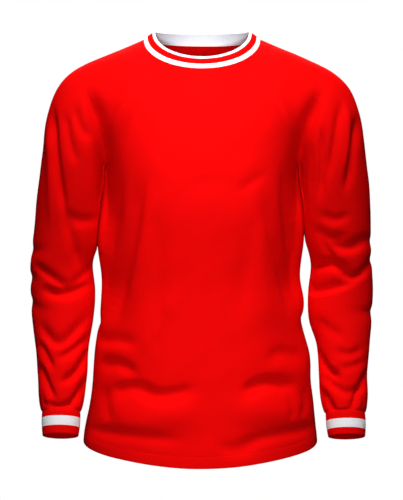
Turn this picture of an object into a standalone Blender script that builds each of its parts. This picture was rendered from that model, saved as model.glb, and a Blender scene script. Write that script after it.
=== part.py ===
"""A long-sleeved football jersey, filled out as if it were worn, with nobody in it.

Seven pieces, as a maker cuts them: a front and a back panel, two sleeves, two rib cuffs and a rib neckband.
Each is a wall of cloth lofted through sections, and neighbours stand GAP apart along the seam that joins them.

Metres, +Z up. The wearer faces -Y and their left arm is at +X. Z is 0 where the shoulder seams meet the neck.
"""

import math

import bpy
import numpy as np

# Thickness of the cloth, the gap left along every seam, and how near a hanging sleeve comes to the body.
KNIT = 0.0018
RIB = 0.0026
GAP = 0.0003
CLEAR = 0.0016

# Body: the hem, the armpit, the outer end of the shoulder seam, and where the side seams run.
HEM_SIDE_Z = -0.706
HEM_DIP = 0.011
ARMPIT_Z = -0.225
SHOULDER_TIP = (0.203, 0.006, -0.043)
SIDE_Y = 0.006
ROUNDNESS = 2.3

# Neck: the seam ring of the neckband, then its free edge, each as half width, then y and z at front and back.
NECK_X = 0.001
NECK_SEAM = {"half": 0.0992, "side_z": 0.0, "front": (-0.077, -0.0465), "back": (0.066, -0.012)}
NECK_EDGE = {"half": 0.0804, "side_z": 0.0140, "front": (-0.0625, -0.027), "back": (0.060, 0.0100)}

# Where the rows of the neckband and of a cuff lie, from its seam (0) to its free edge (1), and which are white.
BAND_ROWS = (0.0, 0.20, 0.39, 0.56, 0.73, 1.0)
BAND_WHITE = (True, True, False, False, True)
CUFF_ROWS = (0.0, 0.27, 0.48, 0.69, 1.0)
CUFF_WHITE = (False, True, True, False)
CUFF_LENGTH = 0.042
CUFF_LIFT = 26
CUFF_END = 0.93

# Sections of the body: half width on the wearer's right and left, y of the centre front and the centre back.
BODY_COLUMNS = ("z", "right", "left", "front", "back")
BODY = (
    (-0.725, 0.2115, 0.2090, -0.1400, 0.1380),
    (-0.690, 0.2085, 0.2045, -0.1370, 0.1360),
    (-0.645, 0.1995, 0.1995, -0.1320, 0.1320),
    (-0.600, 0.1935, 0.1940, -0.1280, 0.1260),
    (-0.550, 0.1895, 0.1915, -0.1250, 0.1180),
    (-0.500, 0.1820, 0.1785, -0.1220, 0.1100),
    (-0.455, 0.1770, 0.1800, -0.1190, 0.1040),
    (-0.410, 0.1755, 0.1735, -0.1170, 0.1010),
    (-0.350, 0.1820, 0.1790, -0.1190, 0.1020),
    (-0.290, 0.1775, 0.1790, -0.1220, 0.1070),
    (-0.225, 0.1680, 0.1680, -0.1220, 0.1130),
)

# Sections of a sleeve, from the armhole to the cuff: the outer and the inner line as the front shows them,
# then the section's centre y and half depth, how far it is lifted forward in degrees, and how far its front
# and back are set in. Beside the body the inner line is meant to be pushed out until it just rests there.
SLEEVE_COLUMNS = ("outer_x", "outer_z", "inner_x", "inner_z", "y", "depth", "lift", "inset")
SLEEVE_RIGHT = (
    (0.2030, -0.043, 0.1680, -0.225, 0.006, 0.064, 0, 0.012),
    (0.2300, -0.060, 0.1655, -0.231, 0.006, 0.068, 0, 0.005),
    (0.2490, -0.083, 0.1635, -0.240, 0.005, 0.070, -1, 0.001),
    (0.2665, -0.130, 0.1635, -0.254, 0.004, 0.069, -3, 0.0),
    (0.2750, -0.195, 0.1670, -0.276, 0.003, 0.066, -4, 0.0),
    (0.2853, -0.262, 0.1685, -0.302, 0.003, 0.062, -4, 0.0),
    (0.2920, -0.330, 0.1755, -0.345, 0.003, 0.059, -2, 0.0),
    (0.3000, -0.390, 0.1905, -0.388, 0.002, 0.057, 4, 0.0),
    (0.2998, -0.440, 0.1860, -0.435, -0.004, 0.055, 12, 0.0),
    (0.2955, -0.485, 0.1885, -0.480, -0.018, 0.051, 19, 0.0),
    (0.2880, -0.530, 0.1960, -0.525, -0.038, 0.046, 24, 0.0),
    (0.2830, -0.575, 0.1980, -0.575, -0.059, 0.042, 26, 0.0),
    (0.2790, -0.612, 0.2025, -0.612, -0.076, 0.0385, 26, 0.0),
    (0.2735, -0.6315, 0.2080, -0.6315, -0.087, 0.0325, 26, 0.0),
)
SLEEVE_LEFT = (
    (0.2030, -0.043, 0.1680, -0.225, 0.006, 0.064, 0, 0.012),
    (0.2345, -0.060, 0.1655, -0.231, 0.006, 0.068, 0, 0.005),
    (0.2555, -0.083, 0.1635, -0.240, 0.005, 0.070, -1, 0.001),
    (0.2735, -0.130, 0.1635, -0.254, 0.004, 0.069, -3, 0.0),
    (0.2835, -0.195, 0.1670, -0.276, 0.003, 0.066, -4, 0.0),
    (0.2930, -0.262, 0.1690, -0.300, 0.003, 0.062, -4, 0.0),
    (0.2960, -0.330, 0.1785, -0.342, 0.003, 0.059, -2, 0.0),
    (0.2990, -0.390, 0.1910, -0.388, 0.002, 0.057, 4, 0.0),
    (0.3010, -0.440, 0.1870, -0.435, -0.004, 0.055, 12, 0.0),
    (0.2975, -0.485, 0.1875, -0.480, -0.018, 0.051, 19, 0.0),
    (0.2920, -0.530, 0.2005, -0.525, -0.038, 0.046, 24, 0.0),
    (0.2875, -0.575, 0.2030, -0.575, -0.059, 0.042, 26, 0.0),
    (0.2855, -0.615, 0.2070, -0.615, -0.077, 0.0385, 26, 0.0),
    (0.2805, -0.6325, 0.2130, -0.6325, -0.088, 0.0325, 26, 0.0),
)

# The largest folds. Each is a curve from one place by another to a third, as (x, z) seen from the front or
# the back, or (y, z) seen from the side. Deep is how far the cloth sinks there; a negative one is a ridge.
FOLD_COLUMNS = ("piece", "seen", "from_a", "from_z", "by_a", "by_z", "to_a", "to_z", "deep", "wide")
FOLDS = (
    ("front", "front", 0.116, -0.310, 0.134, -0.375, 0.167, -0.475, 0.0085, 0.016),
    ("front", "front", 0.168, -0.190, 0.141, -0.272, 0.160, -0.338, 0.0070, 0.015),
    ("front", "front", -0.105, -0.229, -0.127, -0.329, -0.165, -0.448, 0.0060, 0.022),
    ("front", "front", -0.080, -0.244, -0.102, -0.330, -0.150, -0.465, -0.0040, 0.018),
    ("front", "front", -0.143, -0.585, -0.109, -0.574, -0.033, -0.577, 0.0060, 0.013),
    ("front", "front", 0.075, -0.582, 0.112, -0.568, 0.156, -0.575, 0.0065, 0.013),
    ("front", "front", -0.178, -0.530, -0.143, -0.539, -0.119, -0.553, 0.0050, 0.012),
    ("front", "front", 0.074, -0.376, 0.074, -0.405, 0.070, -0.433, 0.0035, 0.020),
    ("back", "back", -0.105, -0.290, -0.135, -0.400, -0.165, -0.485, 0.0080, 0.018),
    ("back", "back", 0.120, -0.260, 0.140, -0.350, 0.165, -0.440, 0.0065, 0.020),
    ("back", "back", -0.110, -0.470, -0.020, -0.495, 0.090, -0.475, 0.0070, 0.018),
    ("back", "back", -0.060, -0.560, 0.030, -0.575, 0.130, -0.555, 0.0060, 0.018),
    ("sleeve_right", "front", -0.250, -0.109, -0.242, -0.204, -0.229, -0.299, 0.0070, 0.011),
    ("sleeve_right", "front", -0.288, -0.401, -0.250, -0.423, -0.187, -0.391, 0.0060, 0.011),
    ("sleeve_right", "front", -0.183, -0.433, -0.204, -0.462, -0.238, -0.477, 0.0045, 0.012),
    ("sleeve_right", "back", -0.280, -0.380, -0.245, -0.400, -0.200, -0.385, 0.0060, 0.014),
    ("sleeve_right", "back", -0.255, -0.170, -0.240, -0.240, -0.235, -0.310, 0.0050, 0.014),
    ("sleeve_left", "front", 0.235, -0.114, 0.222, -0.180, 0.211, -0.251, 0.0055, 0.011),
    ("sleeve_left", "front", 0.259, -0.137, 0.255, -0.201, 0.247, -0.247, 0.0045, 0.010),
    ("sleeve_left", "front", 0.187, -0.384, 0.228, -0.376, 0.283, -0.388, 0.0060, 0.011),
    ("sleeve_left", "front", 0.195, -0.521, 0.210, -0.550, 0.229, -0.565, 0.0045, 0.012),
    ("sleeve_left", "back", 0.285, -0.375, 0.240, -0.395, 0.200, -0.375, 0.0060, 0.014),
    ("sleeve_left", "back", 0.262, -0.170, 0.246, -0.250, 0.240, -0.320, 0.0050, 0.014),
)
VIEWS = {"front": (0.0, -1.0, 0.0), "back": (0.0, 1.0, 0.0), "right": (-1.0, 0.0, 0.0), "left": (1.0, 0.0, 0.0)}

# How finely the cloth is divided: across a panel, up its side seam, up its armhole, and along a sleeve.
ACROSS = 24
UP_SIDE = 20
UP_ARMHOLE = 12
ALONG_SLEEVE = 28

RED = (0.80, 0.004, 0.006, 1.0)
WHITE = (0.86, 0.87, 0.89, 1.0)


def columns(table, names):
    """A table's columns by name, as arrays."""
    return dict(zip(names, np.array(table, float).T))


def through(knots, values, at):
    """A smooth curve through the values at the knots, read at other places."""
    slope = np.gradient(values, knots)
    left = np.clip(np.searchsorted(knots, at) - 1, 0, len(knots) - 2)
    width = knots[left + 1] - knots[left]
    t = (at - knots[left]) / width
    return (
        values[left] * (2 * t**3 - 3 * t**2 + 1)
        + values[left + 1] * (3 * t**2 - 2 * t**3)
        + slope[left] * width * (t**3 - 2 * t**2 + t)
        + slope[left + 1] * width * (t**3 - t**2)
    )


def smoothstep(low, high, value):
    """0 below low, 1 above high, and smooth between."""
    t = np.clip((value - low) / (high - low), 0, 1)
    return t * t * (3 - 2 * t)


def unit(vectors):
    """Vectors scaled to length 1."""
    return vectors / np.maximum(np.linalg.norm(vectors, axis=-1, keepdims=True), 1e-12)


def body_point(z, side, share):
    """A point of the body's section at z: share 0 is the centre line, -1 and 1 are the side seams."""
    body = columns(BODY, BODY_COLUMNS)
    half = through(body["z"], body["left" if share > 0 else "right"], z)
    depth = through(body["z"], body[side], z) - SIDE_Y
    angle = np.linspace(0, math.pi / 2, 181)
    curve = np.stack([half * np.sin(angle) ** (2 / ROUNDNESS), depth * np.cos(angle) ** (2 / ROUNDNESS)], axis=1)
    reach = np.concatenate([[0], np.cumsum(np.linalg.norm(np.diff(curve, axis=0), axis=1))])
    wanted = abs(share) * reach[-1]
    x = math.copysign(np.interp(wanted, reach, curve[:, 0]), share)
    return np.array([x, SIDE_Y + np.interp(wanted, reach, curve[:, 1]), z])


def neck_point(ring, side, share):
    """A point of a neck ring: share 0 is the centre line, -1 and 1 are the ends of the shoulder seams."""
    y, z = ring[side]
    turn = share * math.pi / 2
    rise = ring["side_z"] + (z - ring["side_z"]) * math.cos(turn)
    return np.array([NECK_X + ring["half"] * math.sin(turn), y * math.cos(turn), rise])


def top_point(side, share):
    """The panel's top edge: half of its width is neckline and the rest is the two shoulder seams."""
    if abs(share) <= 0.5:
        return neck_point(NECK_SEAM, side, 2 * share)
    sign = math.copysign(1, share)
    neck = neck_point(NECK_SEAM, side, sign)
    tip = np.array(SHOULDER_TIP) * (sign, 1, 1)
    return neck + (tip - neck) * (2 * abs(share) - 1)


def sleeve_ring(row, turn, blunt=1.0):
    """One section of a sleeve, with turn 0 at its outer line, a quarter turn at its front, half at its underarm."""
    middle = np.array([(row["outer_x"] + row["inner_x"]) / 2, row["y"], (row["outer_z"] + row["inner_z"]) / 2])
    out = np.array([(row["outer_x"] - row["inner_x"]) / 2, 0, (row["outer_z"] - row["inner_z"]) / 2])
    lift = math.radians(row["lift"])
    fore = row["depth"] * np.array([0, -math.cos(lift), math.sin(lift)])
    front = np.sign(np.sin(turn)) * np.abs(np.sin(turn)) ** blunt
    ring = middle + np.outer(np.cos(turn), out) + np.outer(front, fore)
    ring[:, 0] -= row["inset"] * np.sin(turn) ** 2
    return ring


def armhole(turn):
    """A point of the armhole seam on the wearer's left."""
    return sleeve_ring(dict(zip(SLEEVE_COLUMNS, SLEEVE_LEFT[0])), np.array([turn]), 0.8)[0]


def panel(side):
    """The front or the back panel as rows of points, from the hem up to the neckline and the shoulder seams."""
    shares = np.linspace(-1, 1, ACROSS + 1)
    hem_z = HEM_SIDE_Z - HEM_DIP * np.cos(shares * math.pi / 2) ** 4
    rows = []
    for up in np.linspace(0, 1, UP_SIDE + 1):
        level = hem_z + (ARMPIT_Z - hem_z) * up
        rows.append([body_point(z, side, share) for z, share in zip(level, shares)])
    base = np.array(rows[-1])
    top = np.array([top_point(side, share) for share in shares])
    soft_top = top.copy()
    for _ in range(12):
        soft_top[1:-1] += 0.5 * ((soft_top[:-2] + soft_top[2:]) / 2 - soft_top[1:-1])
    toward = 1 if side == "front" else -1
    shoulder_like = smoothstep(0.15, 0.6, np.abs(shares))[:, None]
    near_armhole = smoothstep(0.35, 1.0, np.abs(shares))[:, None]
    for up in np.linspace(0, 1, UP_ARMHOLE + 1)[1:]:
        seam = armhole(math.pi * (1 - up) * toward)
        rise = (1 - shoulder_like) * up + shoulder_like * math.sin(up * math.pi / 2)
        roll = (1 - shoulder_like) * up**2 + shoulder_like * (1 - math.cos(up * math.pi / 2))
        inward = np.full_like(rise, smoothstep(0, 1, up))
        goal = soft_top + (top - soft_top) * up**4
        row = base + (goal - base) * np.concatenate([inward, roll, rise], axis=1)
        for end, sign in ((0, -1), (-1, 1)):
            off = seam * (sign, 1, 1) - row[end]
            row = row + near_armhole * (shares * sign > 0)[:, None] * off
        rows.append(row)
    points = np.array(rows)
    return points if side == "front" else points[:, ::-1]


def clear_of_body(points, sign, ramp):
    """Moves a sleeve's points out sideways where they would hang nearer the body than CLEAR."""
    body = columns(BODY, BODY_COLUMNS)
    z = np.minimum(points[..., 2], ARMPIT_Z)
    half = through(body["z"], body["left" if sign > 0 else "right"], z)
    y = points[..., 1] - SIDE_Y
    front = SIDE_Y - through(body["z"], body["front"], z)
    back = through(body["z"], body["back"], z) - SIDE_Y
    across = np.clip(np.abs(y) / np.where(y < 0, front, back), 0, 0.98)
    edge = half * (1 - across**ROUNDNESS) ** (1 / ROUNDNESS) + CLEAR * ramp
    short = edge - np.abs(points[..., 0])
    push = (short + np.sqrt(short**2 + 0.002**2)) / 2
    near = smoothstep(0.028, 0.0, points[..., 2] - ARMPIT_Z) * smoothstep(0, 0.2, ramp)
    moved = points.copy()
    moved[..., 0] += sign * push * near
    return moved


def sleeve(table, sign):
    """A sleeve as rings of points, from the armhole down to the cuff seam."""
    knots = columns(table, SLEEVE_COLUMNS)
    middle = np.stack([knots["outer_x"], knots["outer_z"], knots["inner_x"], knots["inner_z"], knots["y"]], axis=1)
    along = np.concatenate([[0], np.cumsum(np.linalg.norm(np.diff(middle, axis=0), axis=1))])
    turn = np.linspace(0, 2 * math.pi, 2 * UP_ARMHOLE + 1)[:-1]
    rings = []
    for share in np.linspace(0, 1, ALONG_SLEEVE + 1):
        row = {name: float(through(along, knots[name], share * along[-1])) for name in SLEEVE_COLUMNS}
        ring = sleeve_ring(row, turn, 0.8 + 0.2 * smoothstep(0, 0.15, share)) * (sign, 1, 1)
        rings.append(clear_of_body(ring, sign, smoothstep(0, 0.05, share)))
    return np.array(rings)


def cuff(last, before):
    """A rib cuff that carries a sleeve on from its last ring, a little narrower towards its free edge."""
    middle = last.mean(axis=0)
    lift = math.radians(CUFF_LIFT)
    drift = (middle - before.mean(axis=0))[0]
    along = unit(np.array([drift, -math.sin(lift) * 0.02, -math.cos(lift) * 0.02]))
    rings = []
    for share in CUFF_ROWS:
        scale = 1 + (CUFF_END - 1) * share**2
        rings.append(middle + along * CUFF_LENGTH * share + (last - middle) * scale)
    return np.array(rings)


def neckband():
    """The rib neckband, from its seam up to its free edge, front half first."""
    shares = np.linspace(-1, 1, ACROSS // 2 + 1)
    rows = []
    for up in BAND_ROWS:
        ring = {name: NECK_SEAM[name] + (NECK_EDGE[name] - NECK_SEAM[name]) * up for name in ("half", "side_z")}
        for side in ("front", "back"):
            low, high = np.array(NECK_SEAM[side]), np.array(NECK_EDGE[side])
            ring[side] = low + (high - low) * up
        front = [neck_point(ring, "front", share) for share in shares]
        back = [neck_point(ring, "back", share) for share in shares[::-1]]
        rows.append(front[:-1] + back[:-1])
    return np.array(rows)


def ease_armhole(panel_points, column, step, sleeve_points, turns):
    """Smooths the cloth across the upper armhole seam, where the shoulder runs into the sleeve without a crease."""
    for up in range(1, UP_ARMHOLE + 1):
        ease = smoothstep(0.30, 0.70, up / UP_ARMHOLE) - 0.85 * smoothstep(0.80, 1.0, up / UP_ARMHOLE)
        row, turn = UP_SIDE + up, turns[up]
        inside = [column + step * i for i in range(6, 0, -1)]
        line = np.concatenate([panel_points[row, inside], sleeve_points[0:6, turn]])
        weight = ease * np.sin(np.linspace(0, math.pi, len(line)))[1:-1, None]
        for _ in range(6):
            line[1:-1] += weight * 0.5 * ((line[:-2] + line[2:]) / 2 - line[1:-1])
        panel_points[row, inside] = line[:6]
        panel_points[row, column] = line[6]
        sleeve_points[0:6, turn] = line[6:]


class Piece:
    """One piece of cloth: a grid of points, open or closed around, and which way round its faces are wound."""

    def __init__(self, name, points, closed, thickness, flip=False, white=()):
        self.name = name
        self.points = points
        self.closed = closed
        self.thickness = thickness
        self.flip = flip
        self.white = white

    def normals(self):
        """Unit normals that point out of the garment."""
        p = self.points
        around = np.roll(p, -1, axis=1) - np.roll(p, 1, axis=1) if self.closed else np.gradient(p, axis=1)
        return unit(np.cross(around, np.gradient(p, axis=0))) * (-1 if self.flip else 1)

    def fold(self):
        """Sinks the points into the folds of this piece and lifts them over its ridges."""
        normals = self.normals()
        moved = np.zeros(self.points.shape[:2])
        for row in FOLDS:
            fold = dict(zip(FOLD_COLUMNS, row))
            if fold["piece"] != self.name:
                continue
            view = np.array(VIEWS[fold["seen"]])
            seen = self.points[..., [0, 2]] if view[1] else self.points[..., [1, 2]]
            ends = [np.array([fold[name + "_a"], fold[name + "_z"]]) for name in ("from", "by", "to")]
            bend = 2 * ends[1] - (ends[0] + ends[2]) / 2
            t = np.linspace(0, 1, 17)[:, None]
            curve = (1 - t) ** 2 * ends[0] + 2 * t * (1 - t) * bend + t**2 * ends[2]
            away = np.linalg.norm(seen[:, :, None, :] - curve, axis=-1).min(axis=-1)
            facing = smoothstep(0.0, 0.4, normals @ view)
            moved -= fold["deep"] * facing * np.exp(-((away / fold["wide"]) ** 2))
        self.points = self.points + normals * moved[..., None]


def seams():
    """Every seam: the two pieces, their matching places, and the step from each place into its piece."""
    top, last, around = UP_SIDE + UP_ARMHOLE, ACROSS, 2 * UP_ARMHOLE
    quarter, half = ACROSS // 4, ACROSS // 2
    side, ups = range(UP_SIDE + 1), range(UP_ARMHOLE + 1)
    for a, b, into_a in ((0, last, 1), (last, 0, -1)):
        yield "front", [(r, a) for r in side], (0, into_a), "back", [(r, b) for r in side], (0, -into_a)
    for span in (range(quarter + 1), range(last - quarter, last + 1)):
        yield "front", [(top, c) for c in span], (-1, 0), "back", [(top, last - c) for c in span], (-1, 0)
    for name, start in (("front", 0), ("back", half)):
        neck = [(0, (start + i) % ACROSS) for i in range(half + 1)]
        yield name, [(top, quarter + i) for i in range(half + 1)], (-1, 0), "neckband", neck, (1, 0)
    for name, column, into in (("sleeve_right", 0, 1), ("sleeve_left", last, -1)):
        edge = [(UP_SIDE + j, column) for j in ups]
        yield "front", edge, (0, into), name, [(0, UP_ARMHOLE - j) for j in ups], (1, 0)
        edge = [(UP_SIDE + j, last - column) for j in ups]
        yield "back", edge, (0, -into), name, [(0, (UP_ARMHOLE + j) % around) for j in ups], (1, 0)
    for side_name in ("right", "left"):
        end = [(ALONG_SLEEVE, k) for k in range(around)]
        start = [(0, k) for k in range(around)]
        yield "sleeve_" + side_name, end, (-1, 0), "cuff_" + side_name, start, (1, 0)


def sew(pieces):
    """Brings the pieces together along every seam, then opens GAP there. It returns each piece's shared normals."""
    for first, places, _, second, partners, _ in list(seams()) * 3:
        for place, partner in zip(places, partners):
            middle = (pieces[first].points[place] + pieces[second].points[partner]) / 2
            pieces[first].points[place] = middle
            pieces[second].points[partner] = middle
    normals = {name: piece.normals() for name, piece in pieces.items()}
    shift = {name: np.zeros_like(piece.points) for name, piece in pieces.items()}
    for first, places, into_first, second, partners, into_second in seams():
        a, b = pieces[first].points, pieces[second].points
        for (r, c), (s, d) in zip(places, partners):
            toward_a = unit(a[r + into_first[0], (c + into_first[1]) % a.shape[1]] - a[r, c])
            toward_b = unit(b[s + into_second[0], (d + into_second[1]) % b.shape[1]] - b[s, d])
            apart = unit(toward_a - toward_b) * GAP / 2
            shift[first][r, c] += apart
            shift[second][s, d] -= apart
            normal_a, normal_b = normals[first][r, c].copy(), normals[second][s, d].copy()
            agree = smoothstep(0.0, 0.6, float(normal_a @ normal_b))
            normals[first][r, c] = unit(normal_a + agree * normal_b)
            normals[second][s, d] = unit(normal_b + agree * normal_a)
    for name, piece in pieces.items():
        piece.points = piece.points + shift[name]
    return normals


def wall(piece, normals, colours):
    """The piece as a closed wall: its outer points, the same points one thickness further in, and the rims between."""
    outer = piece.points
    inner = outer - normals * piece.thickness
    rows, across = outer.shape[:2]
    place = np.arange(rows * across).reshape(rows, across)
    inside = place + rows * across
    steps = across if piece.closed else across - 1
    faces, whites = [], []
    for r in range(rows - 1):
        white = bool(piece.white) and piece.white[r]
        for c in range(steps):
            d = (c + 1) % across
            faces.append((place[r, c], place[r, d], place[r + 1, d], place[r + 1, c]))
            faces.append((inside[r, c], inside[r + 1, c], inside[r + 1, d], inside[r, d]))
            whites += [white, white or piece.name == "neckband"]
    for c in range(steps):
        d = (c + 1) % across
        faces.append((place[0, c], inside[0, c], inside[0, d], place[0, d]))
        faces.append((place[-1, c], place[-1, d], inside[-1, d], inside[-1, c]))
        whites += [piece.name == "neckband"] * 2
    if not piece.closed:
        for r in range(rows - 1):
            faces.append((place[r, 0], place[r + 1, 0], inside[r + 1, 0], inside[r, 0]))
            faces.append((place[r, -1], inside[r, -1], inside[r + 1, -1], place[r + 1, -1]))
            whites += [False] * 2
    if piece.flip:
        faces = [face[::-1] for face in faces]
    points = np.concatenate([outer.reshape(-1, 3), inner.reshape(-1, 3)])
    mesh = bpy.data.meshes.new(piece.name)
    mesh.from_pydata(points.tolist(), [], [tuple(int(i) for i in face) for face in faces])
    for colour in colours:
        mesh.materials.append(colour)
    if len(colours) > 1:
        mesh.polygons.foreach_set("material_index", np.array(whites, dtype=np.int32))
    mesh.shade_smooth()
    mesh.set_sharp_from_angle(angle=math.radians(60))
    return bpy.data.objects.new(piece.name, mesh)


def cloth(name, colour, roughness):
    """A plain cloth material in one colour."""
    material = bpy.data.materials.new(name)
    material.use_nodes = True
    shader = material.node_tree.nodes["Principled BSDF"]
    shader.inputs["Base Color"].default_value = colour
    shader.inputs["Roughness"].default_value = roughness
    shader.inputs["Metallic"].default_value = 0.0
    return material


def garment():
    """All seven pieces, folded and sewn, and the normals their walls are thickened along."""
    front, back = panel("front"), panel("back")
    right, left = sleeve(SLEEVE_RIGHT, -1), sleeve(SLEEVE_LEFT, 1)
    front_turns = [UP_ARMHOLE - up for up in range(UP_ARMHOLE + 1)]
    back_turns = [(UP_ARMHOLE + up) % (2 * UP_ARMHOLE) for up in range(UP_ARMHOLE + 1)]
    for points, column, step in ((right, 0, 1), (left, ACROSS, -1)):
        from_front, from_back = points.copy(), points.copy()
        ease_armhole(front, column, step, from_front, front_turns)
        ease_armhole(back, ACROSS - column, -step, from_back, back_turns)
        points[:, 1:UP_ARMHOLE] = from_front[:, 1:UP_ARMHOLE]
        points[:, UP_ARMHOLE + 1 :] = from_back[:, UP_ARMHOLE + 1 :]
        points[:, 0] = (from_front[:, 0] + from_back[:, 0]) / 2
    pieces = [
        Piece("front", front, False, KNIT),
        Piece("back", back, False, KNIT),
        Piece("sleeve_right", right, True, KNIT, flip=True),
        Piece("sleeve_left", left, True, KNIT),
        Piece("cuff_right", cuff(right[-1], right[-2]), True, RIB, flip=True, white=CUFF_WHITE),
        Piece("cuff_left", cuff(left[-1], left[-2]), True, RIB, white=CUFF_WHITE),
        Piece("neckband", neckband(), True, RIB, white=BAND_WHITE),
    ]
    for piece in pieces:
        piece.fold()
    named = {piece.name: piece for piece in pieces}
    return named, sew(named)


def main():
    for leftover in list(bpy.data.objects):
        bpy.data.objects.remove(leftover)
    jersey = bpy.data.collections.new("football_jersey")
    bpy.context.scene.collection.children.link(jersey)
    pieces, normals = garment()
    knit = cloth("red_knit", RED, 0.62)
    red_rib = cloth("red_rib", RED, 0.7)
    white_rib = cloth("white_rib", WHITE, 0.7)
    for name, piece in pieces.items():
        colours = [red_rib, white_rib] if piece.white else [knit]
        jersey.objects.link(wall(piece, normals[name], colours))


main()
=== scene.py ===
# %% [markdown]
# # A long-sleeved football jersey
#
# The real one is sewn from seven pieces: a front, a back, two sleeves, two rib cuffs and a rib neckband.
# The solids that are loaded here have its size and its form, but their cloth is coarse and has few folds.
# This lesson builds each piece again as fine cloth in the same place, with its folds and its seams.

# %% Load the solids that give the size
import math

import bpy
import numpy as np
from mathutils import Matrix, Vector


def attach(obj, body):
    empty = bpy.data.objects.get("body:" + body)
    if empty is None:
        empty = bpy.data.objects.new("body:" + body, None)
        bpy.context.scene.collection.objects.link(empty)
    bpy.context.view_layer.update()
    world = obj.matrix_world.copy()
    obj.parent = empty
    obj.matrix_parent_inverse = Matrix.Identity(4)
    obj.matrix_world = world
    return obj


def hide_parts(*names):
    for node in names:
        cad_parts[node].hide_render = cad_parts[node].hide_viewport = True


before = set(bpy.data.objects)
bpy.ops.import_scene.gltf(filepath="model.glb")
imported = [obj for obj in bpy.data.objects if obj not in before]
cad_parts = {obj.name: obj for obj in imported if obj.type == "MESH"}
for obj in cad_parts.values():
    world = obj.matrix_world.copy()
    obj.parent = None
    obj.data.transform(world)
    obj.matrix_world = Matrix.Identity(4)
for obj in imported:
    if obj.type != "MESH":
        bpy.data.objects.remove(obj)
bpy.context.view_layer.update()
print("solids:", ", ".join(sorted(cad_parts)))

# %% [markdown]
# ## The camera
#
# A garment is usually photographed from some way off, so that its sides stay straight. The camera could be
# placed by eye. Here it was worked out from the outline: it stands 2.4 m away at the height of the neck and
# looks a little down, which shows the inside of the back of the neck and just a sliver into the cuffs.

# %% Place the camera
CAMERA_AT = Vector((0.0, -2.4, 0.011))
LOOKS_AT = Vector((0.0, 0.0, -0.364))
LENS = 100

camera_data = bpy.data.cameras.new("camera")
camera_data.lens = LENS
camera_data.sensor_width = 36
camera = bpy.data.objects.new("camera", camera_data)
camera.location = CAMERA_AT
camera.rotation_euler = (LOOKS_AT - CAMERA_AT).to_track_quat("-Z", "Y").to_euler()
bpy.context.collection.objects.link(camera)
bpy.context.scene.camera = camera
print("camera at", tuple(round(value, 3) for value in camera.location))

# %% [markdown]
# ## Floor and light
#
# The jersey hangs where a wearer's shoulders would hold it, so the floor lies well below it. A broad light
# high in front brightens what faces up and leaves what faces down or aside in shade. That is what shows the
# folds. Two soft beams from behind the camera lift the body and the neck, and a fourth light serves the
# back. A weak pale sky fills the shade, and only the camera sees it as white.

# %% Make the floor, the sky and the lights
FLOOR_Z = -1.45
FLOOR_SIZE = 24
FLOOR_GREY = 0.15
SKY_COLOUR = (0.86, 0.92, 1.0, 1)
SKY_STRENGTH = 0.01
CHEST = (0, 0, -0.35)
LIGHT_SIZE = 1.0
BEAM_Y = -2.97
BEAM_SOFTNESS = 0.15
NECK_BEAM_COLOUR = (0.82, 0.91, 1.0)

bpy.ops.mesh.primitive_plane_add(size=FLOOR_SIZE, location=(0, 0, FLOOR_Z))
floor = bpy.context.object
floor.name = "floor"
paper = bpy.data.materials.new("pale_floor")
paper.use_nodes = True
paper_shader = paper.node_tree.nodes["Principled BSDF"]
paper_shader.inputs["Base Color"].default_value = (FLOOR_GREY, FLOOR_GREY, FLOOR_GREY, 1)
paper_shader.inputs["Roughness"].default_value = 0.9
floor.data.materials.append(paper)


def seen_white(tree, out, dim, kind):
    """Mixes a shader with plain white from one kind of node, which only the camera sees."""
    rays = tree.nodes.new("ShaderNodeLightPath")
    white = tree.nodes.new(kind)
    white.inputs["Color"].default_value = (1, 1, 1, 1)
    white.inputs["Strength"].default_value = 1.0
    mix = tree.nodes.new("ShaderNodeMixShader")
    tree.links.new(rays.outputs["Is Camera Ray"], mix.inputs[0])
    tree.links.new(dim, mix.inputs[1])
    tree.links.new(white.outputs[0], mix.inputs[2])
    tree.links.new(mix.outputs[0], out.inputs["Surface"])


paper_out = paper.node_tree.nodes["Material Output"]
seen_white(paper.node_tree, paper_out, paper_shader.outputs[0], "ShaderNodeEmission")
sky = bpy.data.worlds.new("studio")
bpy.context.scene.world = sky
sky.use_nodes = True
glow = sky.node_tree.nodes["Background"]
glow.inputs["Color"].default_value = SKY_COLOUR
glow.inputs["Strength"].default_value = SKY_STRENGTH
sky_out = sky.node_tree.nodes["World Output"]
seen_white(sky.node_tree, sky_out, glow.outputs[0], "ShaderNodeBackground")


def aimed_light(name, kind, at, aim, watts):
    """A light of one kind that shines from one place towards another."""
    data = bpy.data.lights.new(name, kind)
    data.energy = watts
    light = bpy.data.objects.new(name, data)
    light.location = at
    light.rotation_euler = (Vector(aim) - Vector(at)).to_track_quat("-Z", "Y").to_euler()
    bpy.context.collection.objects.link(light)
    return light


def soft_beam(name, from_z, aim, angle, narrow, watts):
    """A beam from behind the camera that fades out softly and may be narrower from side to side."""
    light = aimed_light(name, "SPOT", (0, BEAM_Y, from_z), aim, watts)
    light.data.spot_size = math.radians(angle)
    light.data.spot_blend = 1.0
    light.data.shadow_soft_size = BEAM_SOFTNESS
    light.scale = (narrow, 1, 1)
    return light


top_light = aimed_light("top_light", "AREA", at=(0, -1.03, 2.47), aim=CHEST, watts=106)
top_light.data.size = LIGHT_SIZE
back_light = aimed_light("back_light", "AREA", at=(0, 2.12, 1.77), aim=CHEST, watts=70)
back_light.data.size = LIGHT_SIZE
soft_beam("body_beam", from_z=0.0, aim=(0, 0, -0.45), angle=27, narrow=0.50, watts=222)
neck_beam = soft_beam("neck_beam", from_z=-0.32, aim=(0, 0.03, 0.0), angle=10, narrow=1.0, watts=270)
neck_beam.data.color = NECK_BEAM_COLOUR
bpy.context.scene.view_settings.view_transform = "Standard"
print("floor at", FLOOR_Z, "and four soft lights")

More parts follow.
